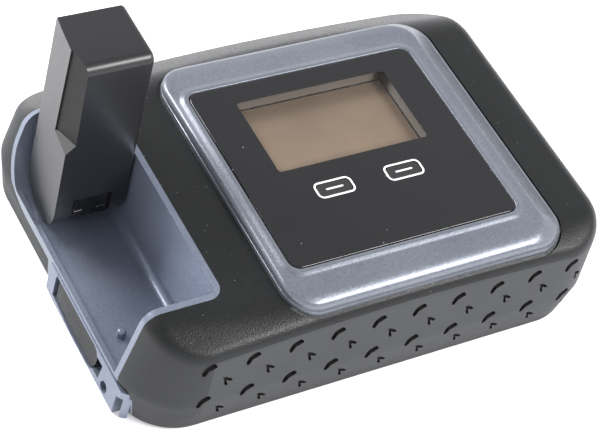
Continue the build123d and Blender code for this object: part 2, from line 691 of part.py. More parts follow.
def make_battery_door():
    """Lid over the battery, with a finger notch pattern and a seat for its captive screw."""
    door = rounded_slab(door_x0, door_x1, -door_y1, door_y1, 0, door_thickness, 3.0)
    door -= post(door_screw_x, 0, -1, door_thickness + 1, screw_radius + 0.1)
    door -= post(door_screw_x, 0, -1, 0.7, screw_head_radius + 0.35)
    for i in range(5):
        groove_x = door_x1 - 3.0 - 2.0 * i
        door -= slab(groove_x - 0.5, groove_x + 0.5, -8.0, 8.0, -1.0, 0.4)
    return door


door_seal = ring_slab(*door_seal_box, door_thickness, door_thickness + door_seal_height - 0.1, 2.5,
                      door_seal_width)
door_insert = post(door_screw_x, 0, 2.0, 6.5, insert_radius)
door_insert -= post(door_screw_x, 0, 2.0, 6.5, screw_radius + 0.05)
door_screw = post(door_screw_x, 0, 0.1, 0.7, screw_head_radius + 0.2)
door_screw += post(door_screw_x, 0, 0.7, 6.0, screw_radius)
door_screw -= slab(door_screw_x - 2.0, door_screw_x + 2.0, -0.35, 0.35, 0.0, 0.45)

# ---------------------------------------------------------------- emergency key and cover
sos_key_face = sos_floor_x + sos_key_rise
sos_key_back = sos_floor_x - sos_block_wall
sos_button = rod(sos_key_back - 0.05, sos_key_face, sos_y, sos_z, sos_key_radius)
sos_button = chamfer(sos_button.faces().sort_by(Axis.X)[-1].edges(), 0.4)
sos_button += rod(sos_key_back - 0.85, sos_key_back - 0.05, sos_y, sos_z, sos_key_radius + 0.9)
sos_switch_x = sos_key_back - 0.85 - sos_key_travel - 0.05
sos_switch = slab(sos_switch_x - 1.6, sos_switch_x, sos_y - 3.0, sos_y + 3.0, sos_z - 3.0, sos_z + 3.0)
sos_switch += slab(sos_switch_x - 2.6, sos_switch_x - 1.6, sos_y - 6.0, sos_y + 6.0, sos_z - 4.0,
                   board_top_z + 2.0)
sos_switch -= slab(board_x0, board_x1, -far, far, board_z, board_top_z)
sos_hinge_z = sos_z + sos_pocket_height / 2 - 1.9
sos_hinge_x = right - 1.7


def make_sos_cover():
    """Spring-shut flap over the emergency key, hinged along its top edge."""
    gap = sos_cover_gap
    width, height = sos_pocket_width - 2 * gap, sos_pocket_height - 2 * gap
    plate = sos_plane * rounded_slab(-width / 2, width / 2, -height / 2, height / 2, 0, 20.0, 1.6)
    plate &= slab(sos_hinge_x - sos_cover_thickness / 2, right, -far, far, 0, sos_hinge_z)
    plate &= sharp_form(0.15)
    barrel_plane = Plane(origin=(sos_hinge_x, sos_y - sos_pocket_width / 2 + 1.2, sos_hinge_z),
                         x_dir=(1, 0, 0), z_dir=(0, 1, 0))
    barrel = barrel_plane * Cylinder(0.8, sos_pocket_width - 2.4,
                                     align=(Align.CENTER, Align.CENTER, Align.MIN))
    bore = barrel_plane * Cylinder(0.4, sos_pocket_width, align=(Align.CENTER, Align.CENTER, Align.MIN))
    return (plate + barrel - bore).solids().sort_by(SortBy.VOLUME)[-1]


# ---------------------------------------------------------------- port cover
cover_gap = 0.4
cover_thickness = 1.4
cover_sink = 0.35
port_hinge_x = left + 0.2
port_hinge_y = port_recess_back - 1.9


def make_port_cover():
    """Rubber flap over the ports, with a rolled edge that it turns on and two plugs behind it."""
    flap = slab(-far, port_hinge_x + cover_thickness / 2, port_recess_front + cover_gap, port_hinge_y,
                port_recess_low + cover_gap, port_recess_high - cover_gap)
    ends = [e for e in flap.edges().filter_by(Axis.X) if e.center().Y < port_recess_front + 1]
    flap = fillet(ends, 2.2)
    roll = post(port_hinge_x, port_hinge_y, port_recess_low + cover_gap, port_recess_high - cover_gap,
                cover_thickness / 2)
    cover = (flap + roll) & (Pos(cover_sink, 0, 0) * side_bulge)
    return cover.solids().sort_by(SortBy.VOLUME)[-1]


# ---------------------------------------------------------------- antenna
def antenna_profile(x0, x1, inset):
    """The antenna's side profile, swept along X: round knuckle, tapering blade."""
    radius = knuckle_radius - inset
    tip = antenna_tip_z - inset
    y_front = hinge_y - radius
    y_back = hinge_y + radius
    plane = Plane(origin=(x0, 0, 0), x_dir=(0, 1, 0), z_dir=(1, 0, 0))
    knuckle = ThreePointArc((y_front, hinge_z), (hinge_y, hinge_z - radius), (y_back, hinge_z))
    blade = Polyline((y_back, hinge_z), (y_back + antenna_back_taper, tip),
                     (y_front + antenna_front_taper, tip), (y_front, hinge_z))
    face = plane * make_face([knuckle.edge(), *blade.edges()])
    return extrude(face, x1 - x0)


def left_slant(inset):
    """Everything to the right of the antenna's slanted left face."""
    y0, y1 = hinge_y - knuckle_radius, hinge_y + knuckle_radius
    x0 = antenna_left + inset
    points = [(x0, y0), (x0 + antenna_left_slant, y1), (x0 + 2 * antenna_left_slant, 2 * y1 - y0),
              (far, 2 * y1 - y0), (far, 2 * y0 - y1), (x0 - antenna_left_slant, 2 * y0 - y1)]
    return extrude(make_face(Polyline(points, close=True)), far)


def grip_cut():
    """Shallow wedge cut from the left face up to the tip, for a finger to lift the antenna."""
    y0 = hinge_y - knuckle_radius
    y1 = y0 + grip_cut_width
    x0 = antenna_left
    x1 = x0 + antenna_left_slant * grip_cut_width / (2 * knuckle_radius)
    points = [(x0 - 3.0, y0 - 3.0), (x0 - 3.0, y1), (x1 + grip_cut_step, y1),
              (x0 + grip_cut_depth, y0), (x0 + grip_cut_depth, y0 - 3.0)]
    low = antenna_tip_z - grip_cut_length
    wedge = extrude(Pos(0, 0, low - 4.0) * make_face(Polyline(points, close=True)), 60.0)
    facet = Plane(origin=(x0, y0, low), z_dir=(-0.70, 0.05, 0.71))
    return split(wedge, bisect_by=facet, keep=Keep.TOP)


def antenna_blank():
    """The antenna's whole outer form with its edges rounded."""
    blank = (antenna_profile(antenna_left - 5.0, antenna_right, 0.0) & left_slant(0.0)).solid()
    tip = blank.faces().sort_by(Axis.Z)[-1]
    front_edge = tip.edges().sort_by(Axis.Y)[0]
    blank = fillet(front_edge, antenna_tip_radius).solid()
    side = blank.faces().sort_by(Axis.X)[-1]
    blank = fillet(side.edges(), antenna_edge_radius).solid()
    return (blank - grip_cut()).solid()


cavity_low_z = hinge_z + knuckle_radius + 1.0
cover_split_y = hinge_y + knuckle_radius - 1.6
antenna_form = antenna_blank()
antenna_hollow = antenna_profile(antenna_left + antenna_wall + 0.6, antenna_right - antenna_wall,
                                 antenna_wall)
antenna_hollow &= left_slant(antenna_wall)
antenna_hollow &= slab(-far, far, -far, far, cavity_low_z, far)
antenna_hollow -= Pos(antenna_wall, antenna_wall, -2 * antenna_wall) * grip_cut()
antenna_hollow = antenna_hollow.solids().sort_by(SortBy.VOLUME)[-1]
cover_zone = slab(-far, far, cover_split_y, far, cavity_low_z - 2.0, far)
pin_hole = rod(antenna_right - 12.0, far, hinge_y, hinge_z, pin_radius + pin_clearance)

latch_x = (antenna_left + antenna_right) / 2
latch_y = hinge_y - knuckle_radius
latch_slot = slab(latch_x - latch_slot_width / 2, latch_x + latch_slot_width / 2, latch_y - 1.0,
                  latch_y + latch_slot_depth, hinge_z + latch_slot_low, hinge_z + latch_slot_high)
latch_plate = slab(latch_x - latch_slot_width / 2 + 0.1, latch_x + latch_slot_width / 2 - 0.1,
                   latch_y + latch_slot_depth - 0.4, latch_y + latch_slot_depth,
                   hinge_z + latch_slot_low + 0.1, hinge_z + latch_slot_high - 0.1)
latch_nibs = [rod(latch_x + off - 1.0, latch_x + off + 1.0, latch_y + latch_slot_depth - 0.4,
                  hinge_z - 1.6, 0.38) for off in (-2.6, 2.6)]
latch_plate += latch_nibs

antenna_shell = antenna_form - antenna_hollow - pin_hole - latch_slot
antenna_housing = (antenna_shell - cover_zone).solids().sort_by(SortBy.VOLUME)[-1]
antenna_cover = (antenna_shell & cover_zone).solids().sort_by(SortBy.VOLUME)[-1]

core_x = (antenna_left + antenna_right) / 2 + 0.9
core_y = hinge_y + 0.4
core_radius = 4.6
helix_top = antenna_tip_z - antenna_wall - 1.5
antenna_board = slab(core_x - 5.2, core_x + 5.2, core_y - 5.0, core_y + 4.8, cavity_low_z + 0.2,
                     cavity_low_z + 1.4)
helix_core = post(core_x, core_y, cavity_low_z + 1.4, helix_top, core_radius)
helix_core -= post(core_x, core_y, cavity_low_z + 2.4, helix_top - 1.0, core_radius - 1.2)
helix_film = post(core_x, core_y, cavity_low_z + 2.0, helix_top - 0.6, core_radius + 0.3)
helix_film -= post(core_x, core_y, cavity_low_z + 2.0, helix_top - 0.6, core_radius + 0.02)

pin_end_x = bay_right + tray_wall + 0.1 + bracket_length
hinge_pin = rod(antenna_right - 11.5, pin_end_x + 1.0, hinge_y, hinge_z, pin_radius)
hinge_pin -= rod(antenna_right - 12.5, pin_end_x + 2.0, hinge_y, hinge_z, pin_bore_radius)
bracket_x0 = bay_right + tray_wall + 0.1
hinge_bracket = slab(bracket_x0, pin_end_x, hinge_y - 6.0, hinge_y + 6.0, hinge_z - 4.5, hinge_z + 7.0)
hinge_bracket -= rod(bracket_x0 - 1, pin_end_x + 1, hinge_y, hinge_z, pin_radius + 0.02)
hinge_clip = rod(pin_end_x + 0.05, pin_end_x + 0.65, hinge_y, hinge_z, pin_radius + 1.6)
hinge_clip -= rod(pin_end_x, pin_end_x + 1.0, hinge_y, hinge_z, pin_radius + 0.02)
detent_spring = slab(bracket_x0 + 1.0, pin_end_x - 1.0, hinge_y - 6.0, hinge_y + 6.0, hinge_z + 7.0,
                     hinge_z + 7.5)


def make_coax():
    """Thin coaxial lead from inside the hinge pin to the modem module."""
    start_x = antenna_right - 11.0
    end = (modem[0] + 3.0, modem[3] - 2.0, modem_top_z + 1.6)
    points = [(start_x, hinge_y, hinge_z), (pin_end_x + 6.0, hinge_y, hinge_z),
              (modem[0] - 3.0, hinge_y - 3.0, modem_top_z + 2.6), end]
    path = FilletPolyline(*points, radius=2.5)
    tangent = path % 0
    section = Plane(origin=path @ 0, z_dir=tangent) * Circle(0.6)
    return sweep(section, path=path)


coax_plug = post(modem[0] + 4.4, modem[3] - 2.9, modem_top_z + 0.8, modem_top_z + 2.2, 1.3)
stow_bumper = post(left + 6.0, bay_front + 9.2, bay_floor_z, hinge_z - knuckle_radius + 1.25, 1.0)
stow_bumper = fillet(stow_bumper.faces().sort_by(Axis.Z)[-1].edges(), 0.6)

# ---------------------------------------------------------------- files
os.makedirs("parts", exist_ok=True)
write("front_case", make_front_case())
write("rear_case", make_rear_case() - case_seal)
write("grip_overmould", grip_overmould)
write("side_frame", side_frame)
write("case_seal", case_seal)
write("case_screws", make_case_screws())
write("screw_inserts", make_inserts())
write("display_bezel", make_bezel())
write("bezel_gasket", make_gasket())
write("display_lens", make_lens())
write("lens_mask", make_mask())
write("lcd_panel", slab(*panel_box, panel_bottom_z, panel_top_z))
write("lcd_holder", make_panel_holder())
write("display_board", display_board)
write("display_flex", display_flex)
write("key_domes", make_domes())
for key_name, key_x in key_spots.items():
    write(key_name, make_soft_key(key_x))
write("main_board", main_board)
write("board_screws", make_board_screws())
write("modem_module", modem_module)
write("heat_spreader", heat_spreader)
write("shield_cans", make_shield_cans())
write("sim_holder", sim_holder)
write("sim_card", sim_card)
write("wifi_antenna", wifi_antenna)
write("buzzer", buzzer)
write("io_board", io_board)
write("usb_connector", usb_connector)
write("rf_jack", rf_jack)
write("io_flex", io_flex)
write("port_cover", make_port_cover())
write("sos_button", sos_button)
write("sos_cover", make_sos_cover())
write("sos_switch", sos_switch)
write("battery_pack", battery_pack)
write("battery_contacts", contact_block)
write("battery_door", make_battery_door())
write("door_seal", door_seal)
write("door_insert", door_insert)
write("door_screw", door_screw)
write("antenna_housing", antenna_housing)
write("antenna_cover", antenna_cover)
write("latch_plate", latch_plate)
write("antenna_board", antenna_board)
write("helix_core", helix_core)
write("helix_film", helix_film)
write("hinge_pin", hinge_pin)
write("hinge_bracket", hinge_bracket)
write("hinge_clip", hinge_clip)
write("detent_spring", detent_spring)
write("antenna_coax", make_coax())
write("stow_bumper", stow_bumper)
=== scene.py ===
# %% [markdown]
# # A portable satellite communicator
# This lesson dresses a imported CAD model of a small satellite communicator: a flat weatherproof case, a
# painted tray with a flip-up antenna, a raised display frame and a rubber grip.  The CAD parts are
# already in their right places, in metres, so every piece below is made around them.

import json
import math

import bmesh
import bpy
from mathutils import Matrix, Vector

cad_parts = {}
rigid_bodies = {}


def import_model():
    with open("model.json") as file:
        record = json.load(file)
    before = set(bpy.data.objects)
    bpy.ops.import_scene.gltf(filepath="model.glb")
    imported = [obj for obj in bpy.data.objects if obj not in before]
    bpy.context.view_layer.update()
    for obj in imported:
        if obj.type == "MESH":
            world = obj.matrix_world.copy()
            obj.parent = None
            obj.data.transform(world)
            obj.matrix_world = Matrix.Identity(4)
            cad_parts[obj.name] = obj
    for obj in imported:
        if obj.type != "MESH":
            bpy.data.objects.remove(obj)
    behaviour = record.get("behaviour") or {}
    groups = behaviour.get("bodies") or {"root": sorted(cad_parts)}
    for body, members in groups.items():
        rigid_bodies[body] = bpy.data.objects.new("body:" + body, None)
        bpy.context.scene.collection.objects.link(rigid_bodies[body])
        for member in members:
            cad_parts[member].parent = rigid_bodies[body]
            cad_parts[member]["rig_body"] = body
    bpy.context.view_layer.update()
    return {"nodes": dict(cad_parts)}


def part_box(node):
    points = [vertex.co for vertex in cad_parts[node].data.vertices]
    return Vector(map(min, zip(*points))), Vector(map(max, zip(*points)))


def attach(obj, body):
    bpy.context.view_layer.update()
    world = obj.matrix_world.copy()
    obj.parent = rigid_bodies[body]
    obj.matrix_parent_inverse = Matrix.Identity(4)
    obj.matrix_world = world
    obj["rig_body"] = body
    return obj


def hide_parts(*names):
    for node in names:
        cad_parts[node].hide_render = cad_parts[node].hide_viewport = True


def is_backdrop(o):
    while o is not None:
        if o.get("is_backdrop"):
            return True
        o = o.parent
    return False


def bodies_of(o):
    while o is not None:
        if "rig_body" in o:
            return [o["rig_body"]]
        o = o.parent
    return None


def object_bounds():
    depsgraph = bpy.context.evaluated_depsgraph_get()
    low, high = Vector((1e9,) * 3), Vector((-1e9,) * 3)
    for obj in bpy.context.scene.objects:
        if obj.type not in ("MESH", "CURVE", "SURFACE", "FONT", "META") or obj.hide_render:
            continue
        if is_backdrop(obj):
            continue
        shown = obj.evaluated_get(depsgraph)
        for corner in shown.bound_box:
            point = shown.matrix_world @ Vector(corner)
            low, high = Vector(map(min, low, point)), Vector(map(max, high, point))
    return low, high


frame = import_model()

# %% [markdown]
# The camera and the light come first, because every finish is judged under them.  The maker's view is
# from the front left corner and rather high, with a long lens, so that the case's edges stay nearly
# parallel.  The camera's three axes are given as one matrix.

# %% The camera
MM = 0.001
LENS_MM = 122.94
CAMERA_PLACE = (-207.32, -228.04, 336.36)
CAMERA_RIGHT = (0.8585, -0.4601, 0.2266)
CAMERA_UP = (0.2216, 0.7312, 0.6451)
CAMERA_AHEAD = (0.4625, 0.5036, -0.7297)


def add_object(name, data):
    """A new object in the scene, at the origin."""
    made = bpy.data.objects.new(name, data)
    bpy.context.scene.collection.objects.link(made)
    return made


camera = add_object("studio_camera", bpy.data.cameras.new("studio_camera"))
camera.data.lens = LENS_MM
camera.data.sensor_width = 36.0
camera.data.clip_start, camera.data.clip_end = 0.01, 20.0
turn = Matrix((CAMERA_RIGHT, CAMERA_UP, tuple(-c for c in CAMERA_AHEAD))).transposed()
camera.matrix_world = Matrix.Translation(Vector(CAMERA_PLACE) * MM) @ turn.to_4x4()
bpy.context.scene.camera = camera
print("camera at", [round(c, 3) for c in camera.location])

# %% [markdown]
# A light tent is a white room: the walls and the floor glow softly, and lamps with large diffusers add
# shape.  Here the world is the tent, and area lamps are the diffusers.  One stands in front, where the
# front slopes mirror it, and one behind on the left, so that the upright antenna throws its shadow into
# the tray.  The view transform is Standard, so that a finish's own colour reaches the picture unchanged.

# %% The light tent
TARGET = Vector((0.0, 0.0, 0.015))
WALL_GLOW, CEILING_GLOW = 1.35, 0.62
LAMP_DISTANCE = 0.9


def linear(code):
    """An sRGB hex colour as the linear red, green, blue and alpha that the shaders use."""
    parts = [int(code[i : i + 2], 16) / 255 for i in (1, 3, 5)]
    return (*[c / 12.92 if c <= 0.04045 else ((c + 0.055) / 1.055) ** 2.4 for c in parts], 1.0)


def add(tree, kind, settings=None, inputs=None):
    """Adds a node, sets its properties, and fills its sockets with a value or with another socket."""
    node = tree.nodes.new(kind)
    for name, value in (settings or {}).items():
        setattr(node, name, value)
    for name, value in (inputs or {}).items():
        if isinstance(value, bpy.types.NodeSocket):
            tree.links.new(value, node.inputs[name])
        else:
            node.inputs[name].default_value = value
    return node


def lamp(name, direction, width, height, power):
    """A diffuser lamp that looks at the object from a direction, in metres and watts."""
    data = bpy.data.lights.new(name, "AREA")
    data.shape, data.size, data.size_y = "RECTANGLE", width, height
    data.energy = power
    made = add_object(name, data)
    made.location = TARGET + Vector(direction).normalized() * LAMP_DISTANCE
    made.rotation_euler = (TARGET - made.location).to_track_quat("-Z", "Y").to_euler()


world = bpy.data.worlds.new("light_tent")
bpy.context.scene.world = world
world.use_nodes = True
tree = world.node_tree
tree.nodes.clear()
where = add(tree, "ShaderNodeTexCoord")
height = add(tree, "ShaderNodeSeparateXYZ", None, {0: where.outputs["Generated"]})
tent = add(
    tree, "ShaderNodeMapRange", None,
    {"Value": height.outputs["Z"], 1: -0.1, 2: 0.9, 3: WALL_GLOW, 4: CEILING_GLOW},
)
glow = add(tree, "ShaderNodeBackground", None, {"Color": linear("#FAFBFF"), "Strength": tent.outputs[0]})
add(tree, "ShaderNodeOutputWorld", None, {0: glow.outputs[0]})

lamp("front_diffuser", (0.46, -0.56, 0.69), 0.45, 0.2, 7.5)
lamp("back_left_diffuser", (-0.42, 0.72, 0.56), 0.5, 0.3, 9.0)
bpy.context.scene.view_settings.view_transform = "Standard"

# %% [markdown]
# The floor is a sheet of matt white paper on a light table, so it glows a little from below and keeps
# the shadow pale.  It is marked as stage, because it isn't part of the object.

# %% The floor
FLOOR_HALF = 3.0
FLOOR_GLOW = 0.28
floor_mesh = bpy.data.meshes.new("paper_floor")
corners = [(-1, -1), (1, -1), (1, 1), (-1, 1)]
floor_mesh.from_pydata([(x * FLOOR_HALF, y * FLOOR_HALF, 0) for x, y in corners], [], [(0, 1, 2, 3)])
floor = add_object("paper_floor", floor_mesh)
paper = bpy.data.materials.new("matt_white_paper")
paper.use_nodes = True
tree = paper.node_tree
shader = tree.nodes["Principled BSDF"]
shader.inputs["Base Color"].default_value = linear("#F6F6F7")
shader.inputs["Roughness"].default_value = 0.9
shader.inputs["Emission Color"].default_value = linear("#FFFFFF")
shader.inputs["Emission Strength"].default_value = FLOOR_GLOW
floor_mesh.materials.append(paper)
floor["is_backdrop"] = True
print("floor", floor.name)

# %% [markdown]
# Most parts are moulded, so one builder makes a moulded finish: a base colour that drifts a little over
# tens of millimetres, a fine grain left by the tool's eroded surface, and a bump from the same grain.
# The grain's size is given in millimetres, and the noise texture's scale is worked out from it.  What a
# finish has of its own, such as flakes or dust, is added by the cell that makes it.


# %% A builder for moulded finishes
def per_mm(size_mm):
    """The scale at which a texture's pattern repeats every so many millimetres on Object coordinates."""
    return 1.0 / (size_mm * MM)


def finish(
    name, dark, light, roughness, grain_mm, bump, metallic=0.0, drift_mm=18.0, spread=0.08, ior=1.5
):
    """A material with drifting colour, grainy roughness and bump.  Returns it with what a finish can
    build on: the Principled node, the place on the object and the colour."""
    made = bpy.data.materials.new(name)
    made.use_nodes = True
    nodes = made.node_tree
    shader = nodes.nodes["Principled BSDF"]
    place = add(nodes, "ShaderNodeTexCoord").outputs["Object"]
    drift = add(
        nodes, "ShaderNodeTexNoise", None, {"Vector": place, "Scale": per_mm(drift_mm), "Detail": 3.0}
    )
    grain = add(
        nodes, "ShaderNodeTexNoise", None, {"Vector": place, "Scale": per_mm(grain_mm), "Detail": 2.0}
    )
    both = add(
        nodes, "ShaderNodeMix", {"data_type": "FLOAT"},
        {"Factor": 0.5, 2: drift.outputs["Fac"], 3: grain.outputs["Fac"]},
    )
    share = add(nodes, "ShaderNodeMapRange", None, {"Value": both.outputs[0], 1: 0.35, 2: 0.65})
    colour = add(
        nodes, "ShaderNodeMix", {"data_type": "RGBA"},
        {"Factor": share.outputs[0], 6: linear(dark), 7: linear(light)},
    )
    rough = add(
        nodes, "ShaderNodeMapRange", None,
        {"Value": grain.outputs["Fac"], 1: 0.3, 2: 0.7, 3: roughness - spread, 4: roughness + spread},
    )
    relief = add(
        nodes, "ShaderNodeBump", None,
        {"Height": grain.outputs["Fac"], "Distance": grain_mm * MM, "Strength": bump},
    )
    nodes.links.new(colour.outputs[2], shader.inputs["Base Color"])
    nodes.links.new(rough.outputs[0], shader.inputs["Roughness"])
    nodes.links.new(relief.outputs[0], shader.inputs["Normal"])
    shader.inputs["Metallic"].default_value = metallic
    if metallic < 1.0:
        shader.inputs["IOR"].default_value = ior
    return made, shader, place, colour.outputs[2]


finishes = {}

# %% [markdown]
# The case is moulded in a polycarbonate and ABS blend with a spark-eroded texture: charcoal and half matt.
# Tiny light points are scattered in its colour: specks of dust, and painted glints where a grain catches
# the light.  The real grain is about 0.15 mm across, and here it is drawn at 0.32 mm so that it shows.
# The upright walls are smooth and duller, so the finish reads a number called smooth_wall, which a later
# cell writes on the mesh.

# %% Case plastic
GRAIN_MM = 0.32
SPECK_SPACING_MM = 1.1
ERODED_BUMP, SMOOTH_BUMP = 0.2, 0.03
case_plastic, shader, place, base = finish(
    "spark_eroded_pc_abs", "#101111", "#181919", 0.37, GRAIN_MM, ERODED_BUMP, spread=0.09, ior=1.4
)
tree = case_plastic.node_tree
# Light specks in the colour: dust, and painted glints where a grain catches the light.
cells = add(
    tree, "ShaderNodeTexVoronoi", None,
    {"Vector": place, "Scale": per_mm(SPECK_SPACING_MM), "Randomness": 1.0},
)
speck = add(tree, "ShaderNodeMapRange", None, {"Value": cells.outputs["Distance"], 1: 0.16, 2: 0.1})
chance = add(tree, "ShaderNodeSeparateColor", None, {0: cells.outputs["Color"]})
rare = add(tree, "ShaderNodeMath", {"operation": "GREATER_THAN"}, {0: chance.outputs[0], 1: 0.9})
amount = add(
    tree, "ShaderNodeMath", {"operation": "MULTIPLY"}, {0: speck.outputs[0], 1: rare.outputs[0]}
)
dust_and_glints = add(
    tree, "ShaderNodeMix", {"data_type": "RGBA"},
    {"Factor": amount.outputs[0], 6: base, 7: linear("#555653")},
)
wall = add(tree, "ShaderNodeAttribute", {"attribute_name": "smooth_wall"})
coloured = add(
    tree, "ShaderNodeMix", {"data_type": "RGBA"},
    {"Factor": wall.outputs["Fac"], 6: dust_and_glints.outputs[2], 7: linear("#27282B")},
)
dulled = add(
    tree, "ShaderNodeMix", {"data_type": "FLOAT"},
    {"Factor": wall.outputs["Fac"], 2: shader.inputs["Roughness"].links[0].from_socket, 3: 0.55},
)
relief = shader.inputs["Normal"].links[0].from_node
flatter = add(
    tree, "ShaderNodeMapRange", None, {"Value": wall.outputs["Fac"], 3: ERODED_BUMP, 4: SMOOTH_BUMP}
)
tree.links.new(coloured.outputs[2], shader.inputs["Base Color"])
tree.links.new(dulled.outputs[0], shader.inputs["Roughness"])
tree.links.new(flatter.outputs[0], relief.inputs["Strength"])
finishes["case_plastic"] = case_plastic
print("case plastic with grain of", GRAIN_MM, "mm")

# %% [markdown]
# The grip is thermoplastic rubber moulded over the case.  It is a mid grey, quite matt, and softer to
# the eye than the case because its surface scatters the light evenly.

# %% Grip rubber
finishes["grip_rubber"] = finish(
    "overmoulded_tpe_rubber", "#2F3032", "#37383A", 0.6, 0.5, 0.06, spread=0.05
)[0]
finishes["seal_rubber"] = finish("black_silicone_seal", "#0E0E0F", "#18181A", 0.42, 0.6, 0.1)[0]
finishes["key_rubber"] = finish("silicone_keypad_rubber", "#1D1D1E", "#272728", 0.5, 0.35, 0.15)[0]
print("rubbers made")

# %% [markdown]
# The tray wears a blue-grey metallic lacquer over plastic, and the display frame one that is a little
# greyer.  Small aluminium flakes lie in the paint at slightly different angles, so the surface glints
# softly, and a clear coat over them gives the narrow highlights on every edge.  Real flakes are far too
# fine to show, so they are drawn at 0.35 mm.

# %% Metallic lacquer
FLAKE_MM = 0.35
for slot, name, dark, light in (
    ("frame_paint", "metallic_flake_lacquer", "#767E8E", "#82899A"),
    ("display_paint", "grey_metallic_flake_lacquer", "#6D717B", "#797D86"),
):
    painted, shader, place, base = finish(
        name, dark, light, 0.32, 0.5, 0.04, metallic=0.5, spread=0.04
    )
    tree = painted.node_tree
    flakes = add(tree, "ShaderNodeTexVoronoi", None, {"Vector": place, "Scale": per_mm(FLAKE_MM)})
    glint = add(tree, "ShaderNodeSeparateColor", None, {0: flakes.outputs["Color"]})
    lift = add(tree, "ShaderNodeMapRange", None, {"Value": glint.outputs[0], 3: 0.93, 4: 1.08})
    flaky = add(
        tree, "ShaderNodeMix", {"data_type": "RGBA", "blend_type": "MULTIPLY"},
        {"Factor": 1.0, 6: base, 7: lift.outputs[0]},
    )
    tree.links.new(flaky.outputs[2], shader.inputs["Base Color"])
    shader.inputs["Coat Weight"].default_value = 0.2
    shader.inputs["Coat Roughness"].default_value = 0.2
    finishes[slot] = painted
print("lacquers with flakes of", FLAKE_MM, "mm")

# %% [markdown]
# The antenna is moulded in a smoother black plastic than the case, so its broad faces carry soft
# gradients and its edges carry clean highlights.

# %% Antenna plastic
antenna_plastic, shader, *_ = finish(
    "satin_moulded_polycarbonate", "#151517", "#19191B", 0.36, 0.3, 0.05, spread=0.03
)
shader.inputs["Coat Weight"].default_value = 0.25
shader.inputs["Coat Roughness"].default_value = 0.3
finishes["antenna_plastic"] = antenna_plastic
print("antenna plastic made")

# %% [markdown]
# Parts inside the case show only when the lid is off, but they get honest finishes too: black glass
# filled nylon, green solder mask over copper tracks, zinc plated steel, brass, copper on polyimide film
# and a battery's shrunk sleeve.

# %% Finishes inside the case
finishes["inner_plastic"] = finish("glass_filled_nylon", "#242526", "#303132", 0.6, 0.7, 0.2)[0]
finishes["mask_ink"] = finish("black_screen_print_ink", "#070708", "#0B0B0C", 0.6, 0.3, 0.02)[0]
finishes["cable_jacket"] = finish("fep_cable_jacket", "#4A3A2C", "#5A4837", 0.35, 0.6, 0.05)[0]
finishes["battery_wrap"] = finish("heat_shrink_battery_wrap", "#25282D", "#2D3137", 0.4, 1.2, 0.08)[0]
finishes["red_key"] = finish("red_silicone_key", "#A3161B", "#B21E22", 0.42, 0.5, 0.06)[0]
finishes["steel"] = finish(
    "zinc_plated_steel", "#9A9C9F", "#B4B6B8", 0.3, 0.35, 0.08, metallic=1.0, spread=0.1
)[0]
finishes["brass"] = finish("turned_brass", "#B08D4A", "#C7A45C", 0.28, 0.4, 0.06, metallic=1.0)[0]
finishes["copper_film"] = finish(
    "copper_on_polyimide", "#A5622F", "#B87338", 0.35, 0.8, 0.05, metallic=0.7
)[0]
board, shader, place, base = finish(
    "solder_masked_fibreglass", "#0F3A22", "#15472B", 0.35, 0.5, 0.06
)
tree = board.node_tree
tracks = add(
    tree, "ShaderNodeTexBrick", {"offset": 0.37, "squash": 1.0},
    {"Vector": place, "Scale": per_mm(6.0), "Mortar Size": 0.02, "Color1": (0, 0, 0, 1),
     "Color2": (0, 0, 0, 1), "Mortar": (1, 1, 1, 1)},
)
tracked = add(
    tree, "ShaderNodeMix", {"data_type": "RGBA"},
    {"Factor": tracks.outputs["Color"], 6: base, 7: linear("#2E6B3C")},
)
tree.links.new(tracked.outputs[2], shader.inputs["Base Color"])
finishes["circuit_board"] = board
print(len(finishes), "finishes so far")

# %% [markdown]
# The cover glass is one sheet, printed black except for a window over the display.  The print is matched
# by a glossy black, and in the window the same gloss lies over a clear sheet.  The window is a rounded
# rectangle worked out on Object coordinates, so the glass stays a single piece.  Only its upper side
# counts as printed, or the lower side would show as a second black edge inside the window.

# %% Cover glass
lens_low, lens_high = [[c / MM for c in corner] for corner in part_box("display_lens")]
window_low = (lens_low[0] + 9.45, lens_low[1] + 24.2)
window_high = (lens_high[0] - 9.05, lens_high[1] - 5.3)
WINDOW_RADIUS = 0.7
PRINT_DEPTH_MM = 1.2
DUST_SPACING_MM = 2.4
window_middle = [(a + b) / 2 * MM for a, b in zip(window_low, window_high)]
window_half = [((b - a) / 2 - WINDOW_RADIUS) * MM for a, b in zip(window_low, window_high)]
print_above = (lens_high[2] - PRINT_DEPTH_MM) * MM
glass, shader, place, base = finish(
    "black_printed_float_glass", "#151516", "#1B1B1C", 0.12, 0.9, 0.01, spread=0.04, drift_mm=30.0
)
tree = glass.node_tree
specks = add(tree, "ShaderNodeTexVoronoi", None, {"Vector": place, "Scale": per_mm(DUST_SPACING_MM)})
speck = add(tree, "ShaderNodeMapRange", None, {"Value": specks.outputs["Distance"], 1: 0.07, 2: 0.04})
chance = add(tree, "ShaderNodeSeparateColor", None, {0: specks.outputs["Color"]})
rare = add(tree, "ShaderNodeMath", {"operation": "GREATER_THAN"}, {0: chance.outputs[0], 1: 0.8})
amount = add(
    tree, "ShaderNodeMath", {"operation": "MULTIPLY"}, {0: speck.outputs[0], 1: rare.outputs[0]}
)
dust_and_glints = add(
    tree, "ShaderNodeMix", {"data_type": "RGBA"},
    {"Factor": amount.outputs[0], 6: base, 7: linear("#8A8C90")},
)
tree.links.new(dust_and_glints.outputs[2], shader.inputs["Base Color"])
axes = add(tree, "ShaderNodeSeparateXYZ", None, {0: place})
outside = []
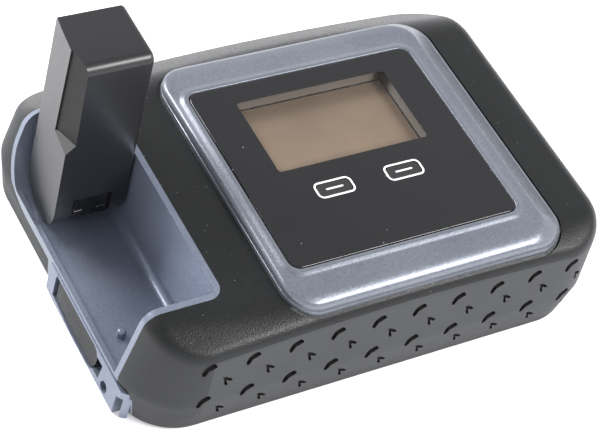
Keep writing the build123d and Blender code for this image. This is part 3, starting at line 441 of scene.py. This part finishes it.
for i, axis in enumerate("XY"):
    shifted = add(
        tree, "ShaderNodeMath", {"operation": "SUBTRACT"}, {0: axes.outputs[axis], 1: window_middle[i]}
    )
    size = add(tree, "ShaderNodeMath", {"operation": "ABSOLUTE"}, {0: shifted.outputs[0]})
    excess = add(
        tree, "ShaderNodeMath", {"operation": "SUBTRACT"}, {0: size.outputs[0], 1: window_half[i]}
    )
    kept = add(tree, "ShaderNodeMath", {"operation": "MAXIMUM"}, {0: excess.outputs[0], 1: 0.0})
    outside.append(kept.outputs[0])
gap = add(tree, "ShaderNodeCombineXYZ", None, {"X": outside[0], "Y": outside[1]})
reach = add(tree, "ShaderNodeVectorMath", {"operation": "LENGTH"}, {0: gap.outputs[0]})
beyond = add(
    tree, "ShaderNodeMath", {"operation": "GREATER_THAN"},
    {0: reach.outputs["Value"], 1: WINDOW_RADIUS * MM},
)
upper = add(
    tree, "ShaderNodeMath", {"operation": "GREATER_THAN"}, {0: axes.outputs["Z"], 1: print_above}
)
printed = add(
    tree, "ShaderNodeMath", {"operation": "MULTIPLY"}, {0: beyond.outputs[0], 1: upper.outputs[0]}
)
clear = add(tree, "ShaderNodeBsdfTransparent", None, {"Color": linear("#F2F3F3")})
shine = add(tree, "ShaderNodeBsdfGlossy", None, {"Roughness": 0.08})
facing = add(tree, "ShaderNodeLayerWeight", None, {"Blend": 0.5})
steep = add(tree, "ShaderNodeMath", {"operation": "POWER"}, {0: facing.outputs["Facing"], 1: 5.0})
edge = add(
    tree, "ShaderNodeMath", {"operation": "MULTIPLY_ADD"}, {0: steep.outputs[0], 1: 0.96, 2: 0.025}
)
pane = add(
    tree, "ShaderNodeMixShader", None, {0: edge.outputs[0], 1: clear.outputs[0], 2: shine.outputs[0]}
)
sheet = add(
    tree, "ShaderNodeMixShader", None, {0: printed.outputs[0], 1: pane.outputs[0], 2: shader.outputs[0]}
)
tree.links.new(sheet.outputs[0], tree.nodes["Material Output"].inputs["Surface"])
finishes["lens_glass"] = glass
print("window in mm", [round(c, 2) for c in (*window_low, *window_high)])

# %% [markdown]
# The display is off, so its polariser shows: a warm grey-brown that is darker at the back, where the
# room's reflection is dimmer, with slow cloudy changes across it.

# %% Display film
film, shader, place, base = finish(
    "reflective_lcd_polariser", "#8C7564", "#A38B74", 0.38, 0.25, 0.02, drift_mm=16.0, spread=0.04
)
tree = film.node_tree
axes = add(tree, "ShaderNodeSeparateXYZ", None, {0: place})
# Painted reflection: the film's colour falls towards the back, where the room's reflection is dimmer.
depth = add(
    tree, "ShaderNodeMapRange", None,
    {"Value": axes.outputs["Y"], 1: window_low[1] * MM, 2: window_high[1] * MM, 3: 1.05, 4: 0.8},
)
shaded = add(
    tree, "ShaderNodeMix", {"data_type": "RGBA", "blend_type": "MULTIPLY"},
    {"Factor": 1.0, 6: base, 7: depth.outputs[0]},
)
tree.links.new(shaded.outputs[2], shader.inputs["Base Color"])
finishes["display_film"] = film
print("film made")

# %% [markdown]
# Every CAD node takes its finish from the record's slot, by name.  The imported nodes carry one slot
# each, so the new material simply takes its place.

# %% Give the CAD nodes their finishes
slot_of = {name: node.data.materials[0].name.split(".")[0] for name, node in frame["nodes"].items()}
body_of = {name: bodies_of(node)[0] for name, node in frame["nodes"].items()}
for name, node in frame["nodes"].items():
    for spot in node.material_slots:
        spot.material = finishes[slot_of[name]]
print(sorted(set(slot_of.values()) - set(finishes)), "slots without a finish")
print("bodies of nodes", {n: body_of[n] for n in ("left_soft_key", "antenna_housing", "port_cover")})

# %% [markdown]
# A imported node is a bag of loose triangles, so its curved faces can't be smoothed and its edges can't be
# rounded.  A copy is merged, freed of needless triangles on flat faces, and given a small bevel, which
# is what a real moulding has, and then it stands for the node.  The antenna is two shells glued edge to
# edge, so the edges along that seam stay as they are, or a groove would show.


# %% Merged copies of the nodes that show
WELD_MM, SEAM_SLACK_MM = 0.002, 0.01
SHARP, FLAT, BENT = 32.0, 0.6, 35.0     # degrees between faces


def merged_copy(node, name, bevel_mm=0.0, seam_y=None):
    """A welded, smoothed copy of a CAD node that replaces it and rides on its body.  Its edges are
    rounded, apart from those that lie on a seam across Y."""
    source = frame["nodes"][node].data
    welded = bmesh.new()
    points = [welded.verts.new(v.co) for v in source.vertices]
    for face in source.polygons:
        welded.faces.new([points[i] for i in face.vertices])
    bmesh.ops.remove_doubles(welded, verts=welded.verts, dist=WELD_MM * MM)
    bmesh.ops.dissolve_degenerate(welded, dist=WELD_MM * MM, edges=welded.edges)
    if bevel_mm:
        bmesh.ops.dissolve_limit(
            welded, angle_limit=math.radians(FLAT), verts=welded.verts, edges=welded.edges
        )
        weight = welded.edges.layers.float.new("bevel_weight_edge")
        for edge in welded.edges:
            bent = edge.is_manifold and edge.calc_face_angle() > math.radians(BENT)
            at_seam = seam_y is not None and all(
                abs(v.co.y - seam_y * MM) < SEAM_SLACK_MM * MM for v in edge.verts
            )
            edge[weight] = 1.0 if bent and not at_seam else 0.0
    mesh = bpy.data.meshes.new(name)
    welded.to_mesh(mesh)
    welded.free()
    mesh.shade_smooth()
    mesh.set_sharp_from_angle(angle=math.radians(SHARP))
    mesh.materials.append(finishes[slot_of[node]])
    made = add_object(name, mesh)
    if bevel_mm:
        rounding = made.modifiers.new("moulded_edge", "BEVEL")
        rounding.width = bevel_mm * MM
        rounding.segments = 2
        rounding.limit_method = "WEIGHT"
        rounding.harden_normals = True
    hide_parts(node)
    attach(made, body_of[node])
    return made


antenna_seam_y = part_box("antenna_cover")[0][1] / MM
skins = {}
for node, bevel_mm in (
    ("front_case", 0.0), ("rear_case", 0.0), ("grip_overmould", 0.0), ("side_frame", 0.4),
    ("bezel_gasket", 0.0), ("display_lens", 0.2), ("left_soft_key", 0.15), ("right_soft_key", 0.15),
    ("antenna_housing", 0.5), ("antenna_cover", 0.15), ("latch_plate", 0.1), ("stow_bumper", 0.0),
    ("port_cover", 0.2), ("sos_cover", 0.2), ("sos_button", 0.2), ("battery_door", 0.2),
    ("hinge_pin", 0.1), ("door_screw", 0.08), ("case_screws", 0.08), ("usb_connector", 0.0),
    ("rf_jack", 0.08), ("battery_pack", 0.3),
):
    seam_y = antenna_seam_y if "antenna" in node else None
    skins[node] = merged_copy(node, node + "_skin", bevel_mm, seam_y)
# The latch plate is blackened, and the bumper is painted with the tray.
skins["latch_plate"].data.materials[0] = finish(
    "blackened_spring_steel", "#0E0E10", "#18181A", 0.25, 0.5, 0.05, metallic=0.3
)[0]
skins["stow_bumper"].data.materials[0] = finishes["frame_paint"]
print(len(skins), "skins")

# %% [markdown]
# The finger rest near the antenna's tip is rougher than the face round it, and darker: its darker colour
# is painted shade, for a facet that turns away from the lamps.

# %% The antenna's finger rest
REST_NORMAL = Vector((-0.985, -0.172, 0.0))
REST_LOWEST = 30.0
housing = skins["antenna_housing"].data
# A darker, rougher finish for the finger rest; its dark colour is painted shade.
housing.materials.append(
    finish("spark_eroded_finger_rest", "#0C0C0D", "#111112", 0.5, 0.25, 0.1, spread=0.05, ior=1.3)[0]
)
rested = 0
for face in housing.polygons:
    faces_rest = face.normal.dot(REST_NORMAL) > 0.992 and face.normal.y < -0.1
    if faces_rest and face.center.z > REST_LOWEST * MM:
        face.material_index = 1
        rested += 1
print("finger rest of", rested, "faces")


# %% [markdown]
# The display frame is a low ring with a raised lip round the glass.  Its section differs on each side,
# so it is built as rounded rectangles, one inside the other: each has its own margin and height on the
# left, right, front and back, and the corners pass smoothly from one side's height to the next.


# %% Rings of rounded rectangles
ARC_STEPS, SIDE_STEPS = 10, 8


def ring_points(margins, radius, heights):
    """Points of a rounded rectangle that lies outside the lens by its left, right, front and back
    margins, counterclockwise from the front left corner."""
    low = Vector((lens_low[0] - margins[0], lens_low[1] - margins[2]))
    high = Vector((lens_high[0] + margins[1], lens_high[1] + margins[3]))
    hubs = (
        (Vector((low.x + radius, low.y + radius)), 180, heights[0], heights[2]),
        (Vector((high.x - radius, low.y + radius)), 270, heights[2], heights[1]),
        (Vector((high.x - radius, high.y - radius)), 0, heights[1], heights[3]),
        (Vector((low.x + radius, high.y - radius)), 90, heights[3], heights[0]),
    )
    points = []
    for hub, start, before, after in hubs:
        for step in range(ARC_STEPS + 1):
            share = step / ARC_STEPS
            angle = math.radians(start + 90 * share)
            ease = share * share * (3 - 2 * share)
            height = before + (after - before) * ease
            points.append((hub.x + radius * math.cos(angle), hub.y + radius * math.sin(angle), height))
    whole = []
    for i, point in enumerate(points):
        whole.append(point)
        if (i + 1) % (ARC_STEPS + 1) == 0:
            onward = points[(i + 1) % len(points)]
            for step in range(1, SIDE_STEPS):
                whole.append(tuple(a + (b - a) * step / SIDE_STEPS for a, b in zip(point, onward)))
    return whole


def ring_mesh(name, rings, closed=True):
    """A band of quads through the rings, joined end to end where it is closed."""
    count = len(rings[0])
    points = [tuple(c * MM for c in p) for ring in rings for p in ring]
    faces = []
    for k in range(len(rings) if closed else len(rings) - 1):
        here, there = k * count, (k + 1) % len(rings) * count
        for i in range(count):
            j = (i + 1) % count
            faces.append((here + i, here + j, there + j, there + i))
    mesh = bpy.data.meshes.new(name)
    mesh.from_pydata(points, [], faces)
    mesh.validate()
    return mesh


def outward(mesh):
    """Turns every face of a closed mesh to the outside."""
    work = bmesh.new()
    work.from_mesh(mesh)
    bmesh.ops.recalc_face_normals(work, faces=work.faces)
    work.to_mesh(mesh)
    work.free()


# %% [markdown]
# The rings run from the wall beside the glass, over the lip and the crown, and down to the foot.  The
# crown is wide at the back and narrow on the left, which gives the frame its lopsided look.  Each row
# holds the margins on the left, right, front and back, the corner's radius, and the heights on the same
# four sides.

# %% The display frame
FRAME_SHARP = 50.0      # degrees between faces
FRAME_RINGS = (
    ((0.15, 0.15, 0.15, 0.15), 2.6, (25.95, 25.95, 25.95, 25.95)),
    ((0.15, 0.15, 0.15, 0.15), 2.6, (31.30, 31.30, 31.30, 31.30)),
    ((0.28, 0.28, 0.28, 0.28), 2.7, (31.42, 31.42, 31.42, 31.42)),
    ((0.80, 0.80, 0.80, 0.80), 3.1, (31.44, 31.44, 31.44, 31.44)),
    ((1.20, 1.25, 1.15, 1.25), 3.5, (31.30, 31.36, 31.34, 31.30)),
    ((1.70, 1.90, 1.65, 1.90), 4.0, (30.96, 31.14, 31.00, 30.98)),
    ((2.10, 2.60, 2.20, 2.55), 4.4, (30.76, 31.10, 30.80, 30.82)),
    ((2.55, 3.50, 4.40, 5.40), 5.0, (30.64, 31.10, 30.66, 30.70)),
    ((2.85, 4.20, 6.40, 7.90), 5.6, (30.50, 31.06, 30.36, 30.35)),
    ((3.10, 4.50, 7.80, 8.80), 6.0, (30.22, 30.92, 29.70, 29.95)),
    ((3.25, 4.80, 8.45, 9.10), 6.4, (29.90, 30.62, 29.20, 29.60)),
    ((3.32, 8.20, 8.62, 9.20), 6.7, (29.50, 29.20, 28.55, 29.20)),
    ((3.36, 8.60, 8.70, 9.25), 6.8, (28.90, 28.75, 27.90, 28.75)),
    ((3.50, 9.05, 9.05, 9.38), 7.0, (28.80, 28.70, 27.80, 28.70)),
    ((3.50, 9.10, 9.10, 9.40), 7.0, (28.60, 28.55, 27.45, 28.55)),
    ((3.50, 9.10, 9.10, 9.40), 7.0, (25.95, 25.95, 25.95, 25.95)),
)
bezel_mesh = ring_mesh("display_frame", [ring_points(*row) for row in FRAME_RINGS])
outward(bezel_mesh)
bezel_mesh.materials.append(finishes["display_paint"])
bezel_mesh.shade_smooth()
bezel_mesh.set_sharp_from_angle(angle=math.radians(FRAME_SHARP))
bezel = add_object("display_frame", bezel_mesh)
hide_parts("display_bezel")
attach(bezel, "case")
print("display frame of", len(bezel_mesh.polygons), "faces")

# %% [markdown]
# Under the window lies the display itself, which is a tray with sloping walls of smoked acrylic, a thin
# bright step, and the film on its floor.  Its depth below the glass shows as brown strips on the far
# sides.


# %% The display's tray
def rectangle(x0, x1, y0, y1, z):
    """The four corners of an upright rectangle, counterclockwise."""
    return [(x0, y0, z), (x1, y0, z), (x1, y1, z), (x0, y1, z)]


STEP_HEIGHT = 28.525
TRAY_RINGS = (
    rectangle(-15.0, 26.85, -8.0, 16.35, 27.65),
    rectangle(-15.0, 26.85, -8.0, 16.35, 29.9),
    rectangle(-14.2, 26.05, -7.2, 16.1, 29.9),
    rectangle(-12.95, 24.8, -5.95, 15.0, 28.55),
    rectangle(-12.65, 24.5, -5.65, 14.7, 28.5),
    rectangle(-12.65, 24.5, -5.65, 14.7, 28.3),
)
tray_mesh = ring_mesh("display_tray", TRAY_RINGS, closed=False)
work = bmesh.new()
work.from_mesh(tray_mesh)
work.verts.ensure_lookup_table()
work.faces.new([work.verts[i] for i in range(4)])
last = 4 * (len(TRAY_RINGS) - 1)
film_face = work.faces.new([work.verts[last + i] for i in range(4)])
film_face.material_index = 1
for face in work.faces:
    if abs(face.calc_center_median().z / MM - STEP_HEIGHT) < 0.03:
        face.material_index = 2
bmesh.ops.recalc_face_normals(work, faces=work.faces)
work.to_mesh(tray_mesh)
work.free()
finishes["display_edge"] = finish("smoked_acrylic_light_guide", "#6F6053", "#7A6A5D", 0.4, 0.4, 0.02)[0]
for slot in ("display_edge", "display_film", "steel"):
    tray_mesh.materials.append(finishes[slot])
tray = add_object("display_tray", tray_mesh)
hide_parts("lcd_panel", "lens_mask")
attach(tray, "case")
print("display tray of", len(tray_mesh.polygons), "faces")

# %% [markdown]
# White outlines are screen printed round the two soft keys, and each key wears a short white dash.  The
# print is a thin layer of ink, so it is modelled as one, a few hundredths of a millimetre high.

# %% Printed outlines and dashes
finishes["white_ink"] = finish("white_screen_print_ink", "#E4E5E7", "#F2F3F4", 0.55, 0.3, 0.05)[0]
KEY_SIZE, KEY_RADIUS = (8.25, 3.5), 1.0
INK_WIDTH, INK_HEIGHT, INK_SINK = 0.42, 0.03, 0.02
DASH_SIZE, DASH_RADIUS = (4.2, 0.42), 0.2
key_centres = {}
for side in ("left", "right"):
    key_low, key_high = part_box(side + "_soft_key")
    key_centres[side] = [(a + b) / 2 / MM for a, b in zip(key_low[:2], key_high[:2])]


def rounded_outline(centre, size, radius, z, steps=8):
    """Points of a rounded rectangle round a centre."""
    points = []
    for sx, sy, start in ((1, 1, 0), (-1, 1, 90), (-1, -1, 180), (1, -1, 270)):
        for step in range(steps + 1):
            angle = math.radians(start + 90 * step / steps)
            points.append((
                centre[0] + sx * (size[0] / 2 - radius) + radius * math.cos(angle),
                centre[1] + sy * (size[1] / 2 - radius) + radius * math.sin(angle),
                z,
            ))
    return points


for side, centre in key_centres.items():
    wide = [s + 2 * INK_WIDTH for s in KEY_SIZE]
    low, high = lens_high[2] - INK_SINK, lens_high[2] + INK_HEIGHT
    wide_radius = KEY_RADIUS + INK_WIDTH
    rings = [
        rounded_outline(centre, KEY_SIZE, KEY_RADIUS, low),
        rounded_outline(centre, wide, wide_radius, low),
        rounded_outline(centre, wide, wide_radius, high),
        rounded_outline(centre, KEY_SIZE, KEY_RADIUS, high),
    ]
    ink_mesh = ring_mesh(side + "_key_outline", rings)
    outward(ink_mesh)
    dash_low = rounded_outline(centre, DASH_SIZE, DASH_RADIUS, low, 3)
    dash_high = rounded_outline(centre, DASH_SIZE, DASH_RADIUS, high, 3)
    dash_mesh = ring_mesh(side + "_key_dash", [dash_low, dash_high], closed=False)
    work = bmesh.new()
    work.from_mesh(dash_mesh)
    work.verts.ensure_lookup_table()
    count = len(dash_low)
    work.faces.new([work.verts[i] for i in range(count)])
    work.faces.new([work.verts[count + i] for i in range(count)])
    bmesh.ops.recalc_face_normals(work, faces=work.faces)
    work.to_mesh(dash_mesh)
    work.free()
    for mesh, body in ((ink_mesh, "case"), (dash_mesh, side + "_key")):
        mesh.materials.append(finishes["white_ink"])
        made = add_object(mesh.name, mesh)
        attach(made, body)
print("outlines and dashes for", list(key_centres))

# %% [markdown]
# The grip's pattern is rows of small dimples that run round the case.  Each row follows a path along
# the front, the right side and the back, which leans in with the walls, above and below the waist.

# %% A path round the grip
case_right, case_back = [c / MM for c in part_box("grip_overmould")[1][:2]]
CORNER, CORNER_STEPS = 13.0, 24
WAIST_Z, TOP_Z = 10.0, 28.3
BASE_LEAN, FRONT_LEAN, RIGHT_LEAN, BACK_LEAN = 1.2, 0.4, 2.0, 1.0


def lean(total, z):
    """How far a wall leans in at a height, below the waist and above it."""
    if z < WAIST_Z:
        return BASE_LEAN * (WAIST_Z - z) / WAIST_Z
    return total * (z - WAIST_Z) / (TOP_Z - WAIST_Z)


def grip_path(name, z, start_x, end_x):
    """A path along the front, the right side and the back of the case at one height."""
    front = -case_back + lean(FRONT_LEAN, z)
    right = case_right - lean(RIGHT_LEAN, z)
    back = case_back - lean(BACK_LEAN, z)
    points = [(start_x, front)]
    for hub, start in (((right - CORNER, front + CORNER), 270), ((right - CORNER, back - CORNER), 0)):
        for step in range(CORNER_STEPS + 1):
            angle = math.radians(start + 90 * step / CORNER_STEPS)
            points.append((hub[0] + CORNER * math.cos(angle), hub[1] + CORNER * math.sin(angle)))
    points.append((end_x, back))
    mesh = bpy.data.meshes.new(name)
    links = [(i, i + 1) for i in range(len(points) - 1)]
    mesh.from_pydata([(x * MM, y * MM, z * MM) for x, y in points], links, [])
    return add_object(name, mesh)


# %% [markdown]
# Geometry Nodes walk along a path and set one cutter at every step, turned to face outwards.  Such a
# tree keeps the spacing in one input, and the same tree serves every row.


# %% A tree that sets cutters along a path
def cutter_mesh(name, outline, out, deep):
    """A prism that stands across the wall: its outline is seen from outside, along X and Z."""
    ring_out = [(x, -out, z) for x, z in outline]
    ring_in = [(x * 0.95, deep, z * 0.95) for x, z in outline]
    count = len(outline)
    points = [tuple(c * MM for c in p) for p in ring_out + ring_in]
    faces = [tuple(range(count)), tuple(reversed(range(count, 2 * count)))]
    faces += [(i, count + i, count + (i + 1) % count, (i + 1) % count) for i in range(count)]
    mesh = bpy.data.meshes.new(name)
    mesh.from_pydata(points, [], faces)
    outward(mesh)
    return mesh


def row_tree():
    """The node tree: path in, a cutter at every pitch, and real geometry out."""
    tree = bpy.data.node_groups.new("cutters_along_a_path", "GeometryNodeTree")
    face = tree.interface
    face.new_socket("Geometry", in_out="INPUT", socket_type="NodeSocketGeometry")
    kinds = {"Cutter": "Object", "Pitch": "Float", "Size": "Float", "Finish": "Material"}
    for name, kind in kinds.items():
        face.new_socket(name, in_out="INPUT", socket_type="NodeSocket" + kind)
    face.new_socket("Geometry", in_out="OUTPUT", socket_type="NodeSocketGeometry")
    given = add(tree, "NodeGroupInput").outputs
    path = add(tree, "GeometryNodeMeshToCurve", None, {0: given["Geometry"]})
    steps = add(
        tree, "GeometryNodeResampleCurve", {"mode": "LENGTH"},
        {"Curve": path.outputs[0], "Length": given["Pitch"]},
    )
    tangent = add(tree, "GeometryNodeInputTangent")
    facing = add(
        tree, "FunctionNodeAlignRotationToVector", {"axis": "X", "pivot_axis": "Z"},
        {"Vector": tangent.outputs[0]},
    )
    shape = add(tree, "GeometryNodeObjectInfo", None, {"Object": given["Cutter"]})
    placed = add(
        tree, "GeometryNodeInstanceOnPoints", None,
        {"Points": steps.outputs[0], "Instance": shape.outputs["Geometry"],
         "Rotation": facing.outputs[0], "Scale": given["Size"]},
    )
    real = add(tree, "GeometryNodeRealizeInstances", None, {0: placed.outputs[0]})
    painted = add(
        tree, "GeometryNodeSetMaterial", None, {"Geometry": real.outputs[0], "Material": given["Finish"]}
    )
    add(tree, "NodeGroupOutput", None, {0: painted.outputs[0]})
    return tree


grip_tree = row_tree()
print("tree with inputs", [i.name for i in grip_tree.interface.items_tree if i.in_out == "INPUT"])

# %% [markdown]
# The cutters are taken out of the rubber, and out of the smooth corner beside it.  Two rows are bent
# like a comma, and the two between them are smaller, like a tick, and half a step along.  What the cut
# lays bare gets an almost black rubber, which is painted shade for the pockets' shadowed walls and floors.

# %% Cut the dimples
GRIP_PITCH, GRIP_END_X = 9.65, -40.0
CUT_OUT, BENT_DEPTH, CORNERED_DEPTH = 0.5, 0.8, 0.55
POCKET_SHARP = 30.0     # degrees between faces
bent_outline = [
    (-1.5, -0.9), (-1.25, 0.5), (-0.75, 1.25), (0.1, 1.75), (0.75, 1.85), (1.5, 1.15),
    (1.65, 0.5), (0.65, -0.05), (-0.05, -0.4), (-0.3, -1.2), (-0.7, -1.95), (-1.25, -1.7),
]
corner_outline = [
    (-1.35, 1.6), (-0.55, 1.5), (0.45, 0.8), (1.45, -0.1), (0.9, -0.42), (-0.12, 0.22),
    (0.0, -0.4), (0.5, -1.5), (-0.05, -1.65), (-0.6, -0.5), (-0.85, 0.62),
]
cutters = {
    "bent": add_object("bent_cutter", cutter_mesh("bent_cutter", bent_outline, CUT_OUT, BENT_DEPTH)),
    "cornered": add_object(
        "cornered_cutter", cutter_mesh("cornered_cutter", corner_outline, CUT_OUT, CORNERED_DEPTH)
    ),
}
rows = (
    ("bent", 21.3, -44.25), ("cornered", 16.1, -39.3), ("bent", 10.7, -43.5), ("cornered", 5.9, -38.7)
)
# Near-black rubber on the pocket faces, as painted shade inside the pockets.
finishes["grip_pocket"] = finish("unpolished_tpe_rubber", "#0C0C0D", "#121213", 0.8, 0.5, 0.1)[0]
all_cutters = bmesh.new()
for kind, z, start_x in rows:
    path = grip_path("grip_row", z, start_x, GRIP_END_X)
    grower = path.modifiers.new("row", "NODES")
    grower.node_group = grip_tree
    values = {
        "Cutter": cutters[kind], "Pitch": GRIP_PITCH * MM, "Size": 1.0, "Finish": finishes["grip_pocket"]
    }
    for item in grip_tree.interface.items_tree:
        if item.in_out == "INPUT" and item.name in values:
            grower[item.identifier] = values[item.name]
    baked = bpy.data.meshes.new_from_object(path.evaluated_get(bpy.context.evaluated_depsgraph_get()))
    print(kind, "row at", z, "mm:", len(baked.polygons), "faces")
    all_cutters.from_mesh(baked)
    bpy.data.objects.remove(path)
    bpy.data.meshes.remove(baked)
cutter_body = bpy.data.meshes.new("grip_cutters")
all_cutters.to_mesh(cutter_body)
all_cutters.free()
cutter_body.materials.append(finishes["grip_pocket"])
cutter_object = add_object("grip_cutters", cutter_body)
for node in ("grip_overmould", "front_case"):
    skin = skins[node]
    cut = skin.modifiers.new("dimples", "BOOLEAN")
    cut.operation, cut.solver, cut.object = "DIFFERENCE", "EXACT", cutter_object
    cut.material_mode = "TRANSFER"
    pocketed = bpy.data.meshes.new_from_object(skin.evaluated_get(bpy.context.evaluated_depsgraph_get()))
    skin.modifiers.clear()
    skin.data = pocketed
    pocketed.shade_smooth()
    pocketed.set_sharp_from_angle(angle=math.radians(POCKET_SHARP))
    print(node, "of", len(pocketed.polygons), "faces", [m.name for m in pocketed.materials])
for spare in (cutter_object, *cutters.values()):
    bpy.data.objects.remove(spare)

# %% [markdown]
# The walls of the case are smooth, and only its top and shoulders are spark eroded.  A number on every
# corner of the mesh says how upright the surface is there, and the case plastic turns smooth by it.  It
# fades over a few millimetres of height, so no line shows where the two finishes meet.

# %% Smooth walls
UPRIGHT_LIMIT, UPRIGHT_FADE = 0.78, 0.2     # of the normal's upward share
HEIGHT_FADE_MM = 4.0


def clamped(number):
    """A number kept between 0 and 1."""
    return min(max(number, 0.0), 1.0)


for node, highest in (("front_case", 24.0), ("rear_case", 5.0)):
    mesh = skins[node].data
    share = mesh.attributes.new("smooth_wall", "FLOAT", "POINT")
    for point, vertex in zip(share.data, mesh.vertices):
        upright = clamped((UPRIGHT_LIMIT - abs(vertex.normal.z)) / UPRIGHT_FADE)
        above = highest + HEIGHT_FADE_MM / 2 - vertex.co.z / MM
        point.value = upright * clamped(above / HEIGHT_FADE_MM)
    print(node, "smoothness on", len(mesh.vertices), "corners")

# %% [markdown]
# Last, the box round everything that renders is printed, in millimetres.

# %% Sizes and finish
low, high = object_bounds()
print("visual box in mm", [round(c / MM, 1) for c in (*low, *high)])
